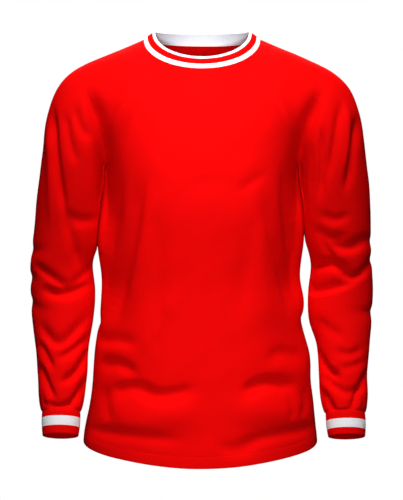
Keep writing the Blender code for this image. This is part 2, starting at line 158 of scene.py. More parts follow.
# %% [markdown]
# ## The cut in numbers
#
# A pattern cutter writes a garment down as widths at heights. These tables do the same for the filled-out
# jersey, in metres. The sections are those of the solids, so the cloth lies where the solids are.
# Z is 0 where the shoulder seams meet the neck, and the front faces -Y.

# %% Sizes of the body and the neck
HEM_SIDE_Z = -0.706
HEM_DIP = 0.011
ARMPIT_Z = -0.225
SHOULDER_TIP = (0.203, 0.006, -0.043)
SIDE_Y = 0.006
ROUNDNESS = 2.3
NECK_X = 0.001
NECK_SEAM = {"half": 0.0992, "side_z": 0.0, "front": (-0.077, -0.0465), "back": (0.066, -0.012)}
NECK_EDGE = {"half": 0.0804, "side_z": 0.0140, "front": (-0.0625, -0.027), "back": (0.060, 0.0100)}

BODY_COLUMNS = ("z", "right", "left", "front", "back")
BODY = (
    (-0.725, 0.2115, 0.2090, -0.1400, 0.1380),
    (-0.690, 0.2085, 0.2045, -0.1370, 0.1360),
    (-0.645, 0.1995, 0.1995, -0.1320, 0.1320),
    (-0.600, 0.1935, 0.1940, -0.1280, 0.1260),
    (-0.550, 0.1895, 0.1915, -0.1250, 0.1180),
    (-0.500, 0.1820, 0.1785, -0.1220, 0.1100),
    (-0.455, 0.1770, 0.1800, -0.1190, 0.1040),
    (-0.410, 0.1755, 0.1735, -0.1170, 0.1010),
    (-0.350, 0.1820, 0.1790, -0.1190, 0.1020),
    (-0.290, 0.1775, 0.1790, -0.1220, 0.1070),
    (-0.225, 0.1680, 0.1680, -0.1220, 0.1130),
)
print("the body is cut from", len(BODY), "sections")

# %% Sizes of the sleeves and the rib
SLEEVE_COLUMNS = ("outer_x", "outer_z", "inner_x", "inner_z", "y", "depth", "lift", "inset")
SLEEVES = {
    "right": (
        (0.2030, -0.043, 0.1680, -0.225, 0.006, 0.064, 0, 0.012),
        (0.2300, -0.060, 0.1655, -0.231, 0.006, 0.068, 0, 0.005),
        (0.2490, -0.083, 0.1635, -0.240, 0.005, 0.070, -1, 0.001),
        (0.2665, -0.130, 0.1635, -0.254, 0.004, 0.069, -3, 0.0),
        (0.2750, -0.195, 0.1670, -0.276, 0.003, 0.066, -4, 0.0),
        (0.2853, -0.262, 0.1685, -0.302, 0.003, 0.062, -4, 0.0),
        (0.2920, -0.330, 0.1755, -0.345, 0.003, 0.059, -2, 0.0),
        (0.3000, -0.390, 0.1905, -0.388, 0.002, 0.057, 4, 0.0),
        (0.2998, -0.440, 0.1860, -0.435, -0.004, 0.055, 12, 0.0),
        (0.2955, -0.485, 0.1885, -0.480, -0.018, 0.051, 19, 0.0),
        (0.2880, -0.530, 0.1960, -0.525, -0.038, 0.046, 24, 0.0),
        (0.2830, -0.575, 0.1980, -0.575, -0.059, 0.042, 26, 0.0),
        (0.2790, -0.612, 0.2025, -0.612, -0.076, 0.0385, 26, 0.0),
        (0.2735, -0.6315, 0.2080, -0.6315, -0.087, 0.0325, 26, 0.0),
    ),
    "left": (
        (0.2030, -0.043, 0.1680, -0.225, 0.006, 0.064, 0, 0.012),
        (0.2345, -0.060, 0.1655, -0.231, 0.006, 0.068, 0, 0.005),
        (0.2555, -0.083, 0.1635, -0.240, 0.005, 0.070, -1, 0.001),
        (0.2735, -0.130, 0.1635, -0.254, 0.004, 0.069, -3, 0.0),
        (0.2835, -0.195, 0.1670, -0.276, 0.003, 0.066, -4, 0.0),
        (0.2930, -0.262, 0.1690, -0.300, 0.003, 0.062, -4, 0.0),
        (0.2960, -0.330, 0.1785, -0.342, 0.003, 0.059, -2, 0.0),
        (0.2990, -0.390, 0.1910, -0.388, 0.002, 0.057, 4, 0.0),
        (0.3010, -0.440, 0.1870, -0.435, -0.004, 0.055, 12, 0.0),
        (0.2975, -0.485, 0.1875, -0.480, -0.018, 0.051, 19, 0.0),
        (0.2920, -0.530, 0.2005, -0.525, -0.038, 0.046, 24, 0.0),
        (0.2875, -0.575, 0.2030, -0.575, -0.059, 0.042, 26, 0.0),
        (0.2855, -0.615, 0.2070, -0.615, -0.077, 0.0385, 26, 0.0),
        (0.2805, -0.6325, 0.2130, -0.6325, -0.088, 0.0325, 26, 0.0),
    ),
}
BAND_ROWS = (0.0, 0.17, 0.34, 0.56, 0.78, 1.0)
BAND_WHITE = (True, True, False, False, True)
CUFF_ROWS = {"right": (0.0, 0.28, 0.47, 0.66, 1.0), "left": (0.0, 0.36, 0.54, 0.72, 1.0)}
CUFF_WHITE = (False, True, True, False)
CUFF_LENGTH = 0.042
CUFF_LIFT = 26
CUFF_END = 0.93
print("a sleeve is cut from", len(SLEEVES["left"]), "sections")

# %% [markdown]
# ## How fine the cloth is
#
# A fold needs four or five points across it, or it turns into facets. The narrowest fold here is 11 mm
# wide, so the cloth gets a point about every 3 mm.

# %% Choose how finely each piece is divided
FINE = 7
ACROSS = 24 * FINE
UP_SIDE = 20 * FINE
UP_ARMHOLE = 12 * FINE
ALONG_SLEEVE = 28 * FINE
KNIT = 0.0012
RIB = 0.0024
SLEEVE_CLEARANCE = 0.0010
TOP_ROUNDS = 12 * FINE**2
SHOULDER_ROUNDS = 5 * FINE**2
ARMHOLE_ROUNDS = 6 * FINE**2
ARMHOLE_REACH = 6 * FINE
print("a body panel has", (ACROSS + 1) * (UP_SIDE + UP_ARMHOLE + 1), "points")


# %% Helpers for curves
def columns(table, names):
    """A table's columns by name, as arrays."""
    return dict(zip(names, np.array(table, float).T))


def through(knots, values, at):
    """A smooth curve through the values at the knots, read at other places."""
    slope = np.gradient(values, knots)
    left = np.clip(np.searchsorted(knots, at) - 1, 0, len(knots) - 2)
    width = knots[left + 1] - knots[left]
    t = (at - knots[left]) / width
    return (
        values[left] * (2 * t**3 - 3 * t**2 + 1)
        + values[left + 1] * (3 * t**2 - 2 * t**3)
        + slope[left] * width * (t**3 - 2 * t**2 + t)
        + slope[left + 1] * width * (t**3 - t**2)
    )


def smoothstep(low, high, value):
    """0 below low, 1 above high, and smooth between."""
    t = np.clip((value - low) / (high - low), 0, 1)
    return t * t * (3 - 2 * t)


def unit(vectors):
    """Vectors scaled to length 1."""
    return vectors / np.maximum(np.linalg.norm(vectors, axis=-1, keepdims=True), 1e-12)


print("a smooth step is", float(smoothstep(0, 1, 0.25)), "high after a quarter of its way")

# %% [markdown]
# ## The front and the back
#
# Both panels start at the hem and rise through the body's sections. Above the armpit they close in to the
# neckline and the shoulder seams, and their sides follow the armholes.

# %% Points of the body, the neck and the shoulders
BODY_TABLE = columns(BODY, BODY_COLUMNS)
QUARTER = np.linspace(0, math.pi / 2, 181)


def body_points(z, side, shares):
    """Points of the body's sections: share 0 is the centre line, -1 and 1 are the side seams."""
    right = through(BODY_TABLE["z"], BODY_TABLE["right"], z)
    left = through(BODY_TABLE["z"], BODY_TABLE["left"], z)
    deep = through(BODY_TABLE["z"], BODY_TABLE[side], z) - SIDE_Y
    points = []
    for share, half, depth, height in zip(shares, np.where(shares > 0, left, right), deep, z):
        x = half * np.sin(QUARTER) ** (2 / ROUNDNESS)
        y = depth * np.cos(QUARTER) ** (2 / ROUNDNESS)
        reach = np.concatenate([[0], np.cumsum(np.hypot(np.diff(x), np.diff(y)))])
        wanted = abs(share) * reach[-1]
        aside = math.copysign(np.interp(wanted, reach, x), share)
        points.append((aside, SIDE_Y + np.interp(wanted, reach, y), height))
    return np.array(points)


def neck_points(ring, side, shares):
    """Points of a neck ring: share 0 is the centre line, -1 and 1 are the ends of the shoulder seams."""
    y, z = ring[side]
    turn = shares * math.pi / 2
    rise = ring["side_z"] + (z - ring["side_z"]) * np.cos(turn)
    return np.stack([NECK_X + ring["half"] * np.sin(turn), y * np.cos(turn), rise], axis=1)


def top_edge(side, shares):
    """The panel's top edge: half of its width is neckline and the rest is the two shoulder seams."""
    neck = neck_points(NECK_SEAM, side, np.clip(2 * shares, -1, 1))
    ones = np.ones_like(shares)
    tip = np.array(SHOULDER_TIP) * np.stack([np.sign(shares), ones, ones], axis=1)
    return neck + (tip - neck) * np.clip(2 * np.abs(shares) - 1, 0, 1)[:, None]


print("neckline", round(2 * NECK_SEAM["half"], 3), "m wide")


# %% A ring of a sleeve, and the armhole it starts from
ARMHOLE_BLUNT = 0.8


def sleeve_ring(row, turn, blunt=1.0):
    """One section of a sleeve: turn 0 is its outer line, a quarter its front, half its underarm."""
    outer = np.array([row["outer_x"], row["y"], row["outer_z"]])
    inner = np.array([row["inner_x"], row["y"], row["inner_z"]])
    middle, out = (outer + inner) / 2, (outer - inner) / 2
    lift = math.radians(row["lift"])
    fore = row["depth"] * np.array([0, -math.cos(lift), math.sin(lift)])
    front = np.sign(np.sin(turn)) * np.abs(np.sin(turn)) ** blunt
    ring = middle + np.outer(np.cos(turn), out) + np.outer(front, fore)
    ring[:, 0] -= row["inset"] * np.sin(turn) ** 2
    return ring


def armhole(turn):
    """A point of the armhole seam on the wearer's left."""
    first_row = dict(zip(SLEEVE_COLUMNS, SLEEVES["left"][0]))
    return sleeve_ring(first_row, np.array([turn]), ARMHOLE_BLUNT)[0]


print("the shoulder seam ends at", armhole(0).round(3))


# %% Shape a panel
def relax(line, times):
    """Softens the corners of a line of points and keeps its two ends."""
    line = line.copy()
    for _ in range(times):
        line[1:-1] += 0.5 * ((line[:-2] + line[2:]) / 2 - line[1:-1])
    return line


def ease_shoulders(points, shares):
    """Smooths a panel from the middle of the chest to its armholes and leaves its edges in place."""
    up = (np.arange(len(points)) - UP_SIDE) / UP_ARMHOLE
    across = smoothstep(0.30, 0.50, np.abs(shares)) * smoothstep(1.0, 0.96, np.abs(shares))
    ease = (smoothstep(-0.25, 0.05, up) * smoothstep(1.0, 0.75, up))[1:-1, None] * across[1:-1]
    for _ in range(SHOULDER_ROUNDS):
        around = (points[:-2, 1:-1] + points[2:, 1:-1] + points[1:-1, :-2] + points[1:-1, 2:]) / 4
        points[1:-1, 1:-1] += 0.8 * ease[..., None] * (around - points[1:-1, 1:-1])
    return points


def panel(side):
    """The front or the back as rows of points, from the hem up to the neckline and the shoulder seams."""
    shares = np.linspace(-1, 1, ACROSS + 1)
    hem_z = HEM_SIDE_Z - HEM_DIP * np.cos(shares * math.pi / 2) ** 4
    climb = ARMPIT_Z - hem_z
    rows = [body_points(hem_z + climb * up, side, shares) for up in np.linspace(0, 1, UP_SIDE + 1)]
    base = rows[-1]
    top = top_edge(side, shares)
    soft_top = relax(top, TOP_ROUNDS)
    toward = 1 if side == "front" else -1
    shoulder_like = smoothstep(0.15, 0.6, np.abs(shares))[:, None]
    for up in np.linspace(0, 1, UP_ARMHOLE + 1)[1:]:
        near_armhole = smoothstep(0.88 - 0.53 * smoothstep(0, 0.45, up), 1.0, np.abs(shares))[:, None]
        seam = armhole(math.pi * (1 - up) * toward)
        rise = (1 - shoulder_like) * up + shoulder_like * math.sin(up * math.pi / 2)
        roll = (1 - shoulder_like) * up**2 + shoulder_like * (1 - math.cos(up * math.pi / 2))
        inward = np.full_like(rise, smoothstep(0, 1, up))
        goal = soft_top + (top - soft_top) * up**4
        row = base + (goal - base) * np.concatenate([inward, roll, rise], axis=1)
        for end, sign in ((0, -1), (-1, 1)):
            off = seam * (sign, 1, 1) - row[end]
            row = row + near_armhole * (shares * sign > 0)[:, None] * off
        rows.append(row)
    points = ease_shoulders(np.array(rows), shares)
    return points if side == "front" else points[:, ::-1]


print("a panel's shoulders are smoothed", SHOULDER_ROUNDS, "times")

# %% [markdown]
# ## The sleeves
#
# A sleeve is a tube that hangs from the armhole, bends a little forward at the elbow and narrows to the
# cuff. It rests against the body, so the tube is pushed out wherever it would hang inside the body.

# %% Hang a sleeve
PUSH_SOFTNESS = 0.002
PUSH_ABOVE_ARMPIT = 0.028
GUIDES = ("outer_x", "outer_z", "inner_x", "inner_z", "y")


def clear_of_body(points, sign, ramp):
    """Moves a sleeve's points out sideways where they would hang too near the body."""
    z = np.minimum(points[..., 2], ARMPIT_Z)
    half = through(BODY_TABLE["z"], BODY_TABLE["left" if sign > 0 else "right"], z)
    y = points[..., 1] - SIDE_Y
    front = SIDE_Y - through(BODY_TABLE["z"], BODY_TABLE["front"], z)
    back = through(BODY_TABLE["z"], BODY_TABLE["back"], z) - SIDE_Y
    across = np.clip(np.abs(y) / np.where(y < 0, front, back), 0, 0.98)
    edge = half * (1 - across**ROUNDNESS) ** (1 / ROUNDNESS) + SLEEVE_CLEARANCE * ramp
    short = edge - np.abs(points[..., 0])
    push = (short + np.sqrt(short**2 + PUSH_SOFTNESS**2)) / 2
    near = smoothstep(PUSH_ABOVE_ARMPIT, 0.0, points[..., 2] - ARMPIT_Z) * smoothstep(0, 0.2, ramp)
    moved = points.copy()
    moved[..., 0] += sign * push * near
    return moved


def sleeve(side):
    """A sleeve as rings of points, from the armhole down to the cuff seam."""
    sign = 1 if side == "left" else -1
    knots = columns(SLEEVES[side], SLEEVE_COLUMNS)
    guides = np.stack([knots[name] for name in GUIDES], axis=1)
    along = np.concatenate([[0], np.cumsum(np.linalg.norm(np.diff(guides, axis=0), axis=1))])
    turn = np.linspace(0, 2 * math.pi, 2 * UP_ARMHOLE + 1)[:-1]
    rings = []
    for share in np.linspace(0, 1, ALONG_SLEEVE + 1):
        row = {name: float(through(along, knots[name], share * along[-1])) for name in SLEEVE_COLUMNS}
        blunt = ARMHOLE_BLUNT + (1 - ARMHOLE_BLUNT) * smoothstep(0, 0.15, share)
        ring = sleeve_ring(row, turn, blunt) * (sign, 1, 1)
        rings.append(clear_of_body(ring, sign, smoothstep(0, 0.05, share)))
    return np.array(rings)


def ease_armhole(panel_points, column, step, sleeve_points, turns):
    """Smooths the cloth across the upper armhole seam, so that the shoulder runs into the sleeve."""
    reach = ARMHOLE_REACH
    for up in range(1, UP_ARMHOLE + 1):
        ease = smoothstep(0.30, 0.70, up / UP_ARMHOLE) - 0.85 * smoothstep(0.80, 1.0, up / UP_ARMHOLE)
        row, turn = UP_SIDE + up, turns[up]
        inside = [column + step * i for i in range(reach, 0, -1)]
        line = np.concatenate([panel_points[row, inside], sleeve_points[0:reach, turn]])
        weight = ease * np.sin(np.linspace(0, math.pi, len(line)))[1:-1, None]
        for _ in range(ARMHOLE_ROUNDS):
            line[1:-1] += weight * 0.5 * ((line[:-2] + line[2:]) / 2 - line[1:-1])
        panel_points[row, inside] = line[:reach]
        panel_points[row, column] = line[reach]
        sleeve_points[0:reach, turn] = line[reach:]


print("the cloth is smoothed over", ARMHOLE_REACH, "points on each side of an armhole")

# %% Cut the panels and the sleeves
front, back = panel("front"), panel("back")
right, left = sleeve("right"), sleeve("left")
front_turns = [UP_ARMHOLE - up for up in range(UP_ARMHOLE + 1)]
back_turns = [(UP_ARMHOLE + up) % (2 * UP_ARMHOLE) for up in range(UP_ARMHOLE + 1)]
for tube, column, step in ((right, 0, 1), (left, ACROSS, -1)):
    from_front, from_back = tube.copy(), tube.copy()
    ease_armhole(front, column, step, from_front, front_turns)
    ease_armhole(back, ACROSS - column, -step, from_back, back_turns)
    tube[:, 1:UP_ARMHOLE] = from_front[:, 1:UP_ARMHOLE]
    tube[:, UP_ARMHOLE + 1 :] = from_back[:, UP_ARMHOLE + 1 :]
    tube[:, 0] = (from_front[:, 0] + from_back[:, 0]) / 2
heights = front[..., 2]
print("panels and sleeves cut, the front from", round(heights.min(), 3), "up to", round(heights.max(), 3))

# %% [markdown]
# ## Folds
#
# Cloth that is free to hang never lies smooth: it pulls from the armpits, creases at the elbow and slumps
# above the hem and the cuffs. A cloth simulation finds such folds by itself, but not those of this jersey.
# So each fold is a row of its own: a curve from one place by another to a third, how deep it sinks and how
# wide it is on either side. A fold with a depth below zero is a ridge. Each fades out at its two ends.
#
# The places of the folds in front were read off the enlarged photo, and are given in its pixels.
# Each is carried onto the cloth along the camera's line of sight, so a fold lies where the photo shows it.
# The folds behind don't show. They are guessed, and given as places on the cloth in metres.

# %% Carry places of the photo onto the cloth
PHOTO_WIDE, PHOTO_TALL = 403, 500
CLOSEST = 3
pixels_long = LENS / camera_data.sensor_width * PHOTO_TALL
ahead = unit(np.array(LOOKS_AT - CAMERA_AT))
aright = np.array([1.0, 0.0, 0.0])
upward = np.cross(aright, ahead)


def in_photo(points):
    """The pixel of the photo in which the camera sees each point."""
    away = points - np.array(CAMERA_AT)
    far = away @ ahead
    across = PHOTO_WIDE / 2 + pixels_long * (away @ aright) / far
    return np.stack([across, PHOTO_TALL / 2 - pixels_long * (away @ upward) / far], axis=-1)


def on_cloth(points, px, py):
    """Where the line of sight through a pixel meets the cloth, at the depth of its closest points."""
    closest = np.argsort(np.hypot(*(in_photo(points) - (px, py)).T))[:CLOSEST]
    depth = points[closest, 1].mean()
    aside, down = (px - PHOTO_WIDE / 2) / pixels_long, (py - PHOTO_TALL / 2) / pixels_long
    sight = ahead + aright * aside - upward * down
    met = np.array(CAMERA_AT) + sight * (depth - CAMERA_AT.y) / sight[1]
    return round(float(met[0]), 3), round(float(met[2]), 3)


print("the origin shows at pixel", in_photo(np.zeros(3)).round(1), "of the photo")

# %% Turn places in the photo into folds
FOLD_SIZES = ("deep", "wide_a", "wide_b")
FOLD_COLUMNS = ("on", "seen", "from_a", "from_z", "by_a", "by_z", "to_a", "to_z", *FOLD_SIZES)
PLACE_COLUMNS = ("on", "from_px", "from_py", "by_px", "by_py", "to_px", "to_py", *FOLD_SIZES)


def near_side(tube):
    """The points of a sleeve on the half that faces the camera."""
    return tube[tube[..., 1] < tube[..., 1].mean(axis=1, keepdims=True)]


def folds_from(places):
    """Rows of folds in metres, from rows of places in the photo."""
    panel_points = front.reshape(-1, 3)
    seen = {"body": panel_points, "right": near_side(right), "left": near_side(left)}
    for side in ("right", "left"):
        seen[side + "_all"] = np.concatenate([panel_points, seen[side]])
    rows = []
    for row in places:
        place = dict(zip(PLACE_COLUMNS, row))
        points = seen[place["on"]]
        ends = []
        for end in ("from", "by", "to"):
            ends.extend(on_cloth(points, place[end + "_px"], place[end + "_py"]))
        rows.append((place["on"], "front", *ends, *(place[name] for name in FOLD_SIZES)))
    return tuple(rows)


print("each fold takes", len(PLACE_COLUMNS), "values")

# %% The folds of the body
BODY_PLACES = (
    ("right_all", 86, 86, 102, 150, 101, 240, 0.0155, 0.014, 0.011),
    ("right_all", 140, 84, 119, 120, 113, 176, -0.0100, 0.018, 0.012),
    ("right_all", 100, 130, 106, 196, 103, 276, 0.0100, 0.034, 0.010),
    ("body", 104, 185, 106, 250, 108, 330, 0.0095, 0.034, 0.014),
    ("left_all", 325, 86, 303, 150, 302, 240, 0.0155, 0.011, 0.014),
    ("left_all", 264, 84, 286, 120, 293, 176, -0.0100, 0.012, 0.018),
    ("left_all", 304, 130, 299, 196, 301, 276, 0.0100, 0.010, 0.034),
    ("body", 300, 185, 299, 250, 298, 330, 0.0095, 0.014, 0.034),
    ("body", 139, 164, 129, 252, 106, 330, 0.0075, 0.014, 0.020),
    ("body", 120, 168, 113, 218, 102, 272, 0.0050, 0.011, 0.011),
    ("body", 150, 185, 142, 250, 124, 322, -0.0040, 0.018, 0.012),
    ("body", 284, 162, 291, 222, 304, 290, 0.0064, 0.013, 0.011),
    ("body", 266, 182, 280, 258, 304, 330, 0.0070, 0.022, 0.014),
    ("body", 256, 200, 260, 262, 274, 330, -0.0034, 0.014, 0.020),
    ("body", 262, 196, 249, 258, 238, 330, 0.0036, 0.016, 0.018),
    ("body", 148, 196, 157, 256, 150, 326, 0.0032, 0.016, 0.018),
    ("body", 172, 292, 158, 328, 138, 354, -0.0034, 0.014, 0.012),
    ("body", 264, 174, 252, 183, 240, 192, 0.0024, 0.009, 0.011),
    ("body", 228, 164, 238, 151, 252, 148, 0.0014, 0.011, 0.014),
    ("body", 190, 188, 214, 183, 236, 188, 0.0014, 0.014, 0.018),
    ("body", 96, 339, 114, 341, 138, 346, 0.0050, 0.014, 0.009),
    ("body", 98, 366, 117, 364, 138, 376, 0.0072, 0.010, 0.013),
    ("body", 110, 394, 131, 387, 155, 391, 0.0075, 0.009, 0.014),
    ("body", 138, 389, 165, 395, 198, 386, 0.0072, 0.010, 0.015),
    ("body", 106, 413, 150, 418, 204, 409, -0.0078, 0.032, 0.028),
    ("body", 242, 396, 268, 383, 298, 390, 0.0100, 0.011, 0.014),
    ("body", 234, 414, 268, 411, 302, 415, -0.0068, 0.030, 0.028),
    ("body", 268, 360, 286, 354, 306, 363, 0.0042, 0.012, 0.014),
    ("body", 106, 388, 107, 404, 111, 420, 0.0042, 0.011, 0.011),
    ("body", 287, 395, 291, 406, 290, 421, 0.0028, 0.008, 0.008),
    ("body", 301, 388, 304, 402, 301, 417, 0.0034, 0.009, 0.009),
    ("body", 84, 425, 125, 434, 192, 442, 0.0046, 0.010, 0.011),
    ("body", 318, 424, 282, 433, 224, 450, 0.0050, 0.011, 0.010),
    ("body", 166, 300, 160, 330, 150, 352, 0.0030, 0.012, 0.014),
    ("body", 218, 444, 237, 451, 256, 444, 0.0036, 0.013, 0.011),
)
BODY_FOLDS = folds_from(BODY_PLACES)
BACK_FOLDS = (
    ("body", "back", -0.105, -0.290, -0.135, -0.400, -0.165, -0.485, 0.0080, 0.016, 0.020),
    ("body", "back", 0.120, -0.260, 0.140, -0.350, 0.165, -0.440, 0.0065, 0.018, 0.022),
    ("body", "back", -0.110, -0.470, -0.020, -0.495, 0.090, -0.475, 0.0070, 0.014, 0.020),
    ("body", "back", -0.060, -0.560, 0.030, -0.575, 0.130, -0.555, 0.0060, 0.014, 0.020),
    ("body", "back", 0.020, -0.400, 0.085, -0.425, 0.150, -0.400, 0.0040, 0.010, 0.016),
    ("body", "back", -0.155, -0.540, -0.090, -0.535, -0.030, -0.522, 0.0035, 0.009, 0.014),
    ("body", "back", -0.075, -0.060, -0.105, -0.110, -0.150, -0.150, 0.0020, 0.012, 0.014),
    ("body", "back", 0.078, -0.058, 0.108, -0.105, 0.148, -0.140, 0.0020, 0.012, 0.014),
    ("body", "back", -0.020, -0.180, -0.035, -0.280, -0.070, -0.380, -0.0030, 0.020, 0.024),
    ("body", "back", 0.060, -0.200, 0.070, -0.300, 0.040, -0.390, -0.0030, 0.020, 0.022),
    ("right_all", "back", -0.186, -0.100, -0.172, -0.150, -0.162, -0.218, 0.0060, 0.011, 0.012),
    ("left_all", "back", 0.186, -0.105, 0.172, -0.152, 0.162, -0.218, 0.0060, 0.012, 0.011),
    ("body", "back", -0.195, -0.652, -0.120, -0.668, -0.030, -0.672, 0.0030, 0.009, 0.012),
    ("body", "back", 0.190, -0.640, 0.110, -0.655, 0.050, -0.680, 0.0030, 0.012, 0.009),
    ("body", "right", 0.050, -0.470, 0.010, -0.492, -0.040, -0.486, 0.0030, 0.010, 0.014),
    ("body", "left", 0.055, -0.500, 0.010, -0.485, -0.045, -0.494, 0.0030, 0.014, 0.010),
)
print(len(BODY_FOLDS), "folds in front and", len(BACK_FOLDS), "behind")

# %% The folds of the sleeves
SLEEVE_PLACES = (
    ("right", 53, 100, 56, 160, 67, 224, 0.0085, 0.007, 0.007),
    ("right", 66, 216, 72, 240, 82, 270, 0.0052, 0.009, 0.008),
    ("right", 66, 112, 69, 138, 79, 168, 0.0048, 0.008, 0.008),
    ("right_all", 75, 104, 80, 126, 92, 140, 0.0042, 0.009, 0.008),
    ("right", 64, 211, 80, 220, 96, 217, 0.0050, 0.009, 0.011),
    ("right", 48, 120, 50, 170, 50, 230, -0.0035, 0.007, 0.006),
    ("right", 34, 264, 50, 276, 72, 291, 0.0056, 0.009, 0.007),
    ("right", 98, 260, 84, 275, 68, 288, 0.0040, 0.007, 0.009),
    ("right", 42, 287, 64, 294, 94, 279, 0.0088, 0.008, 0.009),
    ("right", 38, 314, 60, 343, 95, 302, 0.0080, 0.012, 0.008),
    ("right", 90, 334, 74, 350, 54, 359, 0.0064, 0.008, 0.008),
    ("right", 40, 342, 46, 356, 54, 370, 0.0058, 0.007, 0.007),
    ("right", 90, 346, 79, 370, 58, 383, 0.0100, 0.007, 0.008),
    ("right", 40, 364, 46, 382, 56, 400, 0.0077, 0.006, 0.007),
    ("right", 87, 376, 78, 396, 64, 407, 0.0085, 0.007, 0.007),
    ("right", 43, 401, 57, 406, 74, 402, 0.0048, 0.006, 0.006),
    ("left", 342, 98, 336, 138, 327, 186, 0.0058, 0.007, 0.008),
    ("left", 345, 100, 347, 140, 341, 190, -0.0038, 0.007, 0.008),
    ("left", 357, 112, 352, 152, 345, 198, 0.0066, 0.008, 0.007),
    ("left_all", 312, 142, 312, 168, 311, 198, 0.0030, 0.005, 0.006),
    ("left_all", 322, 122, 322, 164, 320, 206, 0.0055, 0.006, 0.006),
    ("left", 320, 211, 334, 219, 350, 213, 0.0034, 0.008, 0.009),
    ("left", 315, 227, 329, 237, 347, 235, 0.0050, 0.009, 0.009),
    ("left", 330, 240, 347, 248, 367, 238, 0.0068, 0.012, 0.009),
    ("left", 321, 236, 327, 250, 338, 262, 0.0034, 0.007, 0.007),
    ("left", 304, 268, 328, 264, 352, 273, 0.0108, 0.009, 0.009),
    ("left", 336, 268, 354, 276, 370, 263, 0.0080, 0.007, 0.008),
    ("left", 306, 290, 326, 290, 362, 278, 0.0064, 0.012, 0.006),
    ("left", 318, 318, 330, 330, 346, 336, 0.0036, 0.010, 0.012),
    ("left", 317, 349, 325, 368, 342, 377, 0.0105, 0.008, 0.009),
    ("left", 336, 350, 350, 354, 364, 346, 0.0038, 0.007, 0.008),
    ("left", 340, 368, 352, 366, 366, 360, 0.0034, 0.007, 0.008),
    ("left", 321, 374, 334, 386, 350, 394, 0.0054, 0.007, 0.007),
    ("left", 320, 386, 328, 402, 336, 414, 0.0080, 0.007, 0.007),
    ("left", 368, 368, 360, 390, 350, 410, 0.0080, 0.006, 0.007),
    ("left", 344, 394, 356, 390, 367, 383, 0.0048, 0.007, 0.007),
)
SLEEVE_FOLDS = folds_from(SLEEVE_PLACES)
# Behind, each sleeve has the same kinds of folds, shallower, a little lower and less far across.
BEHIND_LOWER = 0.012
BEHIND_SHARE = 0.6
BEHIND_SPREAD = 0.9
SLEEVE_MIDDLE = 0.24
BEHIND_FOLDS = []
for row in SLEEVE_FOLDS:
    fold = dict(zip(FOLD_COLUMNS, row))
    middle_x = math.copysign(SLEEVE_MIDDLE, fold["by_a"])
    for end in ("from", "by", "to"):
        fold[end + "_a"] = middle_x + BEHIND_SPREAD * (fold[end + "_a"] - middle_x)
        fold[end + "_z"] -= BEHIND_LOWER
    fold["seen"] = "back"
    fold["deep"] *= BEHIND_SHARE
    BEHIND_FOLDS.append(tuple(fold.values()))
# The creases on the outer side of each elbow are guessed.
ELBOW_FOLDS = (
    ("right", "right", -0.052, -0.398, 0.000, -0.412, 0.045, -0.400, 0.0035, 0.009, 0.012),
    ("right", "right", -0.055, -0.350, -0.010, -0.362, 0.040, -0.345, 0.0025, 0.009, 0.012),
    ("right", "right", -0.070, -0.470, -0.020, -0.452, 0.030, -0.462, 0.0030, 0.009, 0.012),
    ("left", "left", -0.052, -0.392, 0.000, -0.380, 0.045, -0.392, 0.0035, 0.012, 0.009),
    ("left", "left", -0.050, -0.335, -0.005, -0.348, 0.042, -0.352, 0.0025, 0.009, 0.012),
    ("left", "left", -0.070, -0.455, -0.020, -0.470, 0.030, -0.455, 0.0030, 0.009, 0.012),
)
print(len(SLEEVE_FOLDS), "folds on the sleeves in front")

# %% How deep a fold sinks at each point
CURVE_POINTS = 25
FADE_SHARE = 0.28
FACING = 0.4
BROAD_WAVE = 0.0006
SMALL_WAVE = 0.0003
VIEWS = {
    "front": (0.0, -1.0, 0.0),
    "back": (0.0, 1.0, 0.0),
    "right": (-1.0, 0.0, 0.0),
    "left": (1.0, 0.0, 0.0),
}
PIECES_ON = {
    "body": ("front", "back"),
    "right": ("sleeve_right",),
    "left": ("sleeve_left",),
    "right_all": ("front", "back", "sleeve_right"),
    "left_all": ("front", "back", "sleeve_left"),
}


def fold_depth(fold, points, normals):
    """How far one fold sinks each of the points."""
    view = np.array(VIEWS[fold["seen"]])
    seen = points[..., [0, 2]] if view[1] else points[..., [1, 2]]
    ends = [np.array([fold[name + "_a"], fold[name + "_z"]]) for name in ("from", "by", "to")]
    bend = 2 * ends[1] - (ends[0] + ends[2]) / 2
    t = np.linspace(0, 1, CURVE_POINTS)[:, None]
    curve = (1 - t) ** 2 * ends[0] + 2 * t * (1 - t) * bend + t**2 * ends[2]
    step = np.diff(curve, axis=0)
    margin = 3 * max(fold["wide_a"], fold["wide_b"])
    near = ((seen > curve.min(axis=0) - margin) & (seen < curve.max(axis=0) + margin)).all(axis=-1)
    near &= normals @ view > 0
    reach = seen[near][:, None] - curve[:-1]
    long = np.hypot(step[:, 0], step[:, 1])
    share = np.clip((reach * step).sum(axis=-1) / long**2, 0, 1)
    away = reach - share[..., None] * step
    along = (np.arange(len(step)) + share) / len(step)
    fade = smoothstep(0, FADE_SHARE, along) * smoothstep(0, FADE_SHARE, 1 - along)
    aside = (step[:, 0] * reach[..., 1] - step[:, 1] * reach[..., 0]) / long
    middling = (fold["wide_a"] + fold["wide_b"]) / 2
    wide = fold["wide_b"] + (fold["wide_a"] - fold["wide_b"]) * smoothstep(-1, 1, aside / middling)
    pressed = (fade * np.exp(-(away**2).sum(axis=-1) / wide**2)).max(axis=1)
    depth = np.zeros(near.shape)
    depth[near] = fold["deep"] * pressed * smoothstep(0.0, FACING, normals[near] @ view)
    return depth


def unevenness(points):
    """The slight waves that any hanging cloth has, in metres."""
    x, y, z = points[..., 0], points[..., 1], points[..., 2]
    broad = np.sin(31 * x + 17 * z + 4 * y) * np.sin(23 * z - 19 * x + 1.3)
    small = np.sin(71 * x - 43 * z + 0.7) * np.sin(57 * z + 49 * y + 2.1)
    return BROAD_WAVE * broad + SMALL_WAVE * small


print("folds are pressed in from", len(VIEWS), "sides")

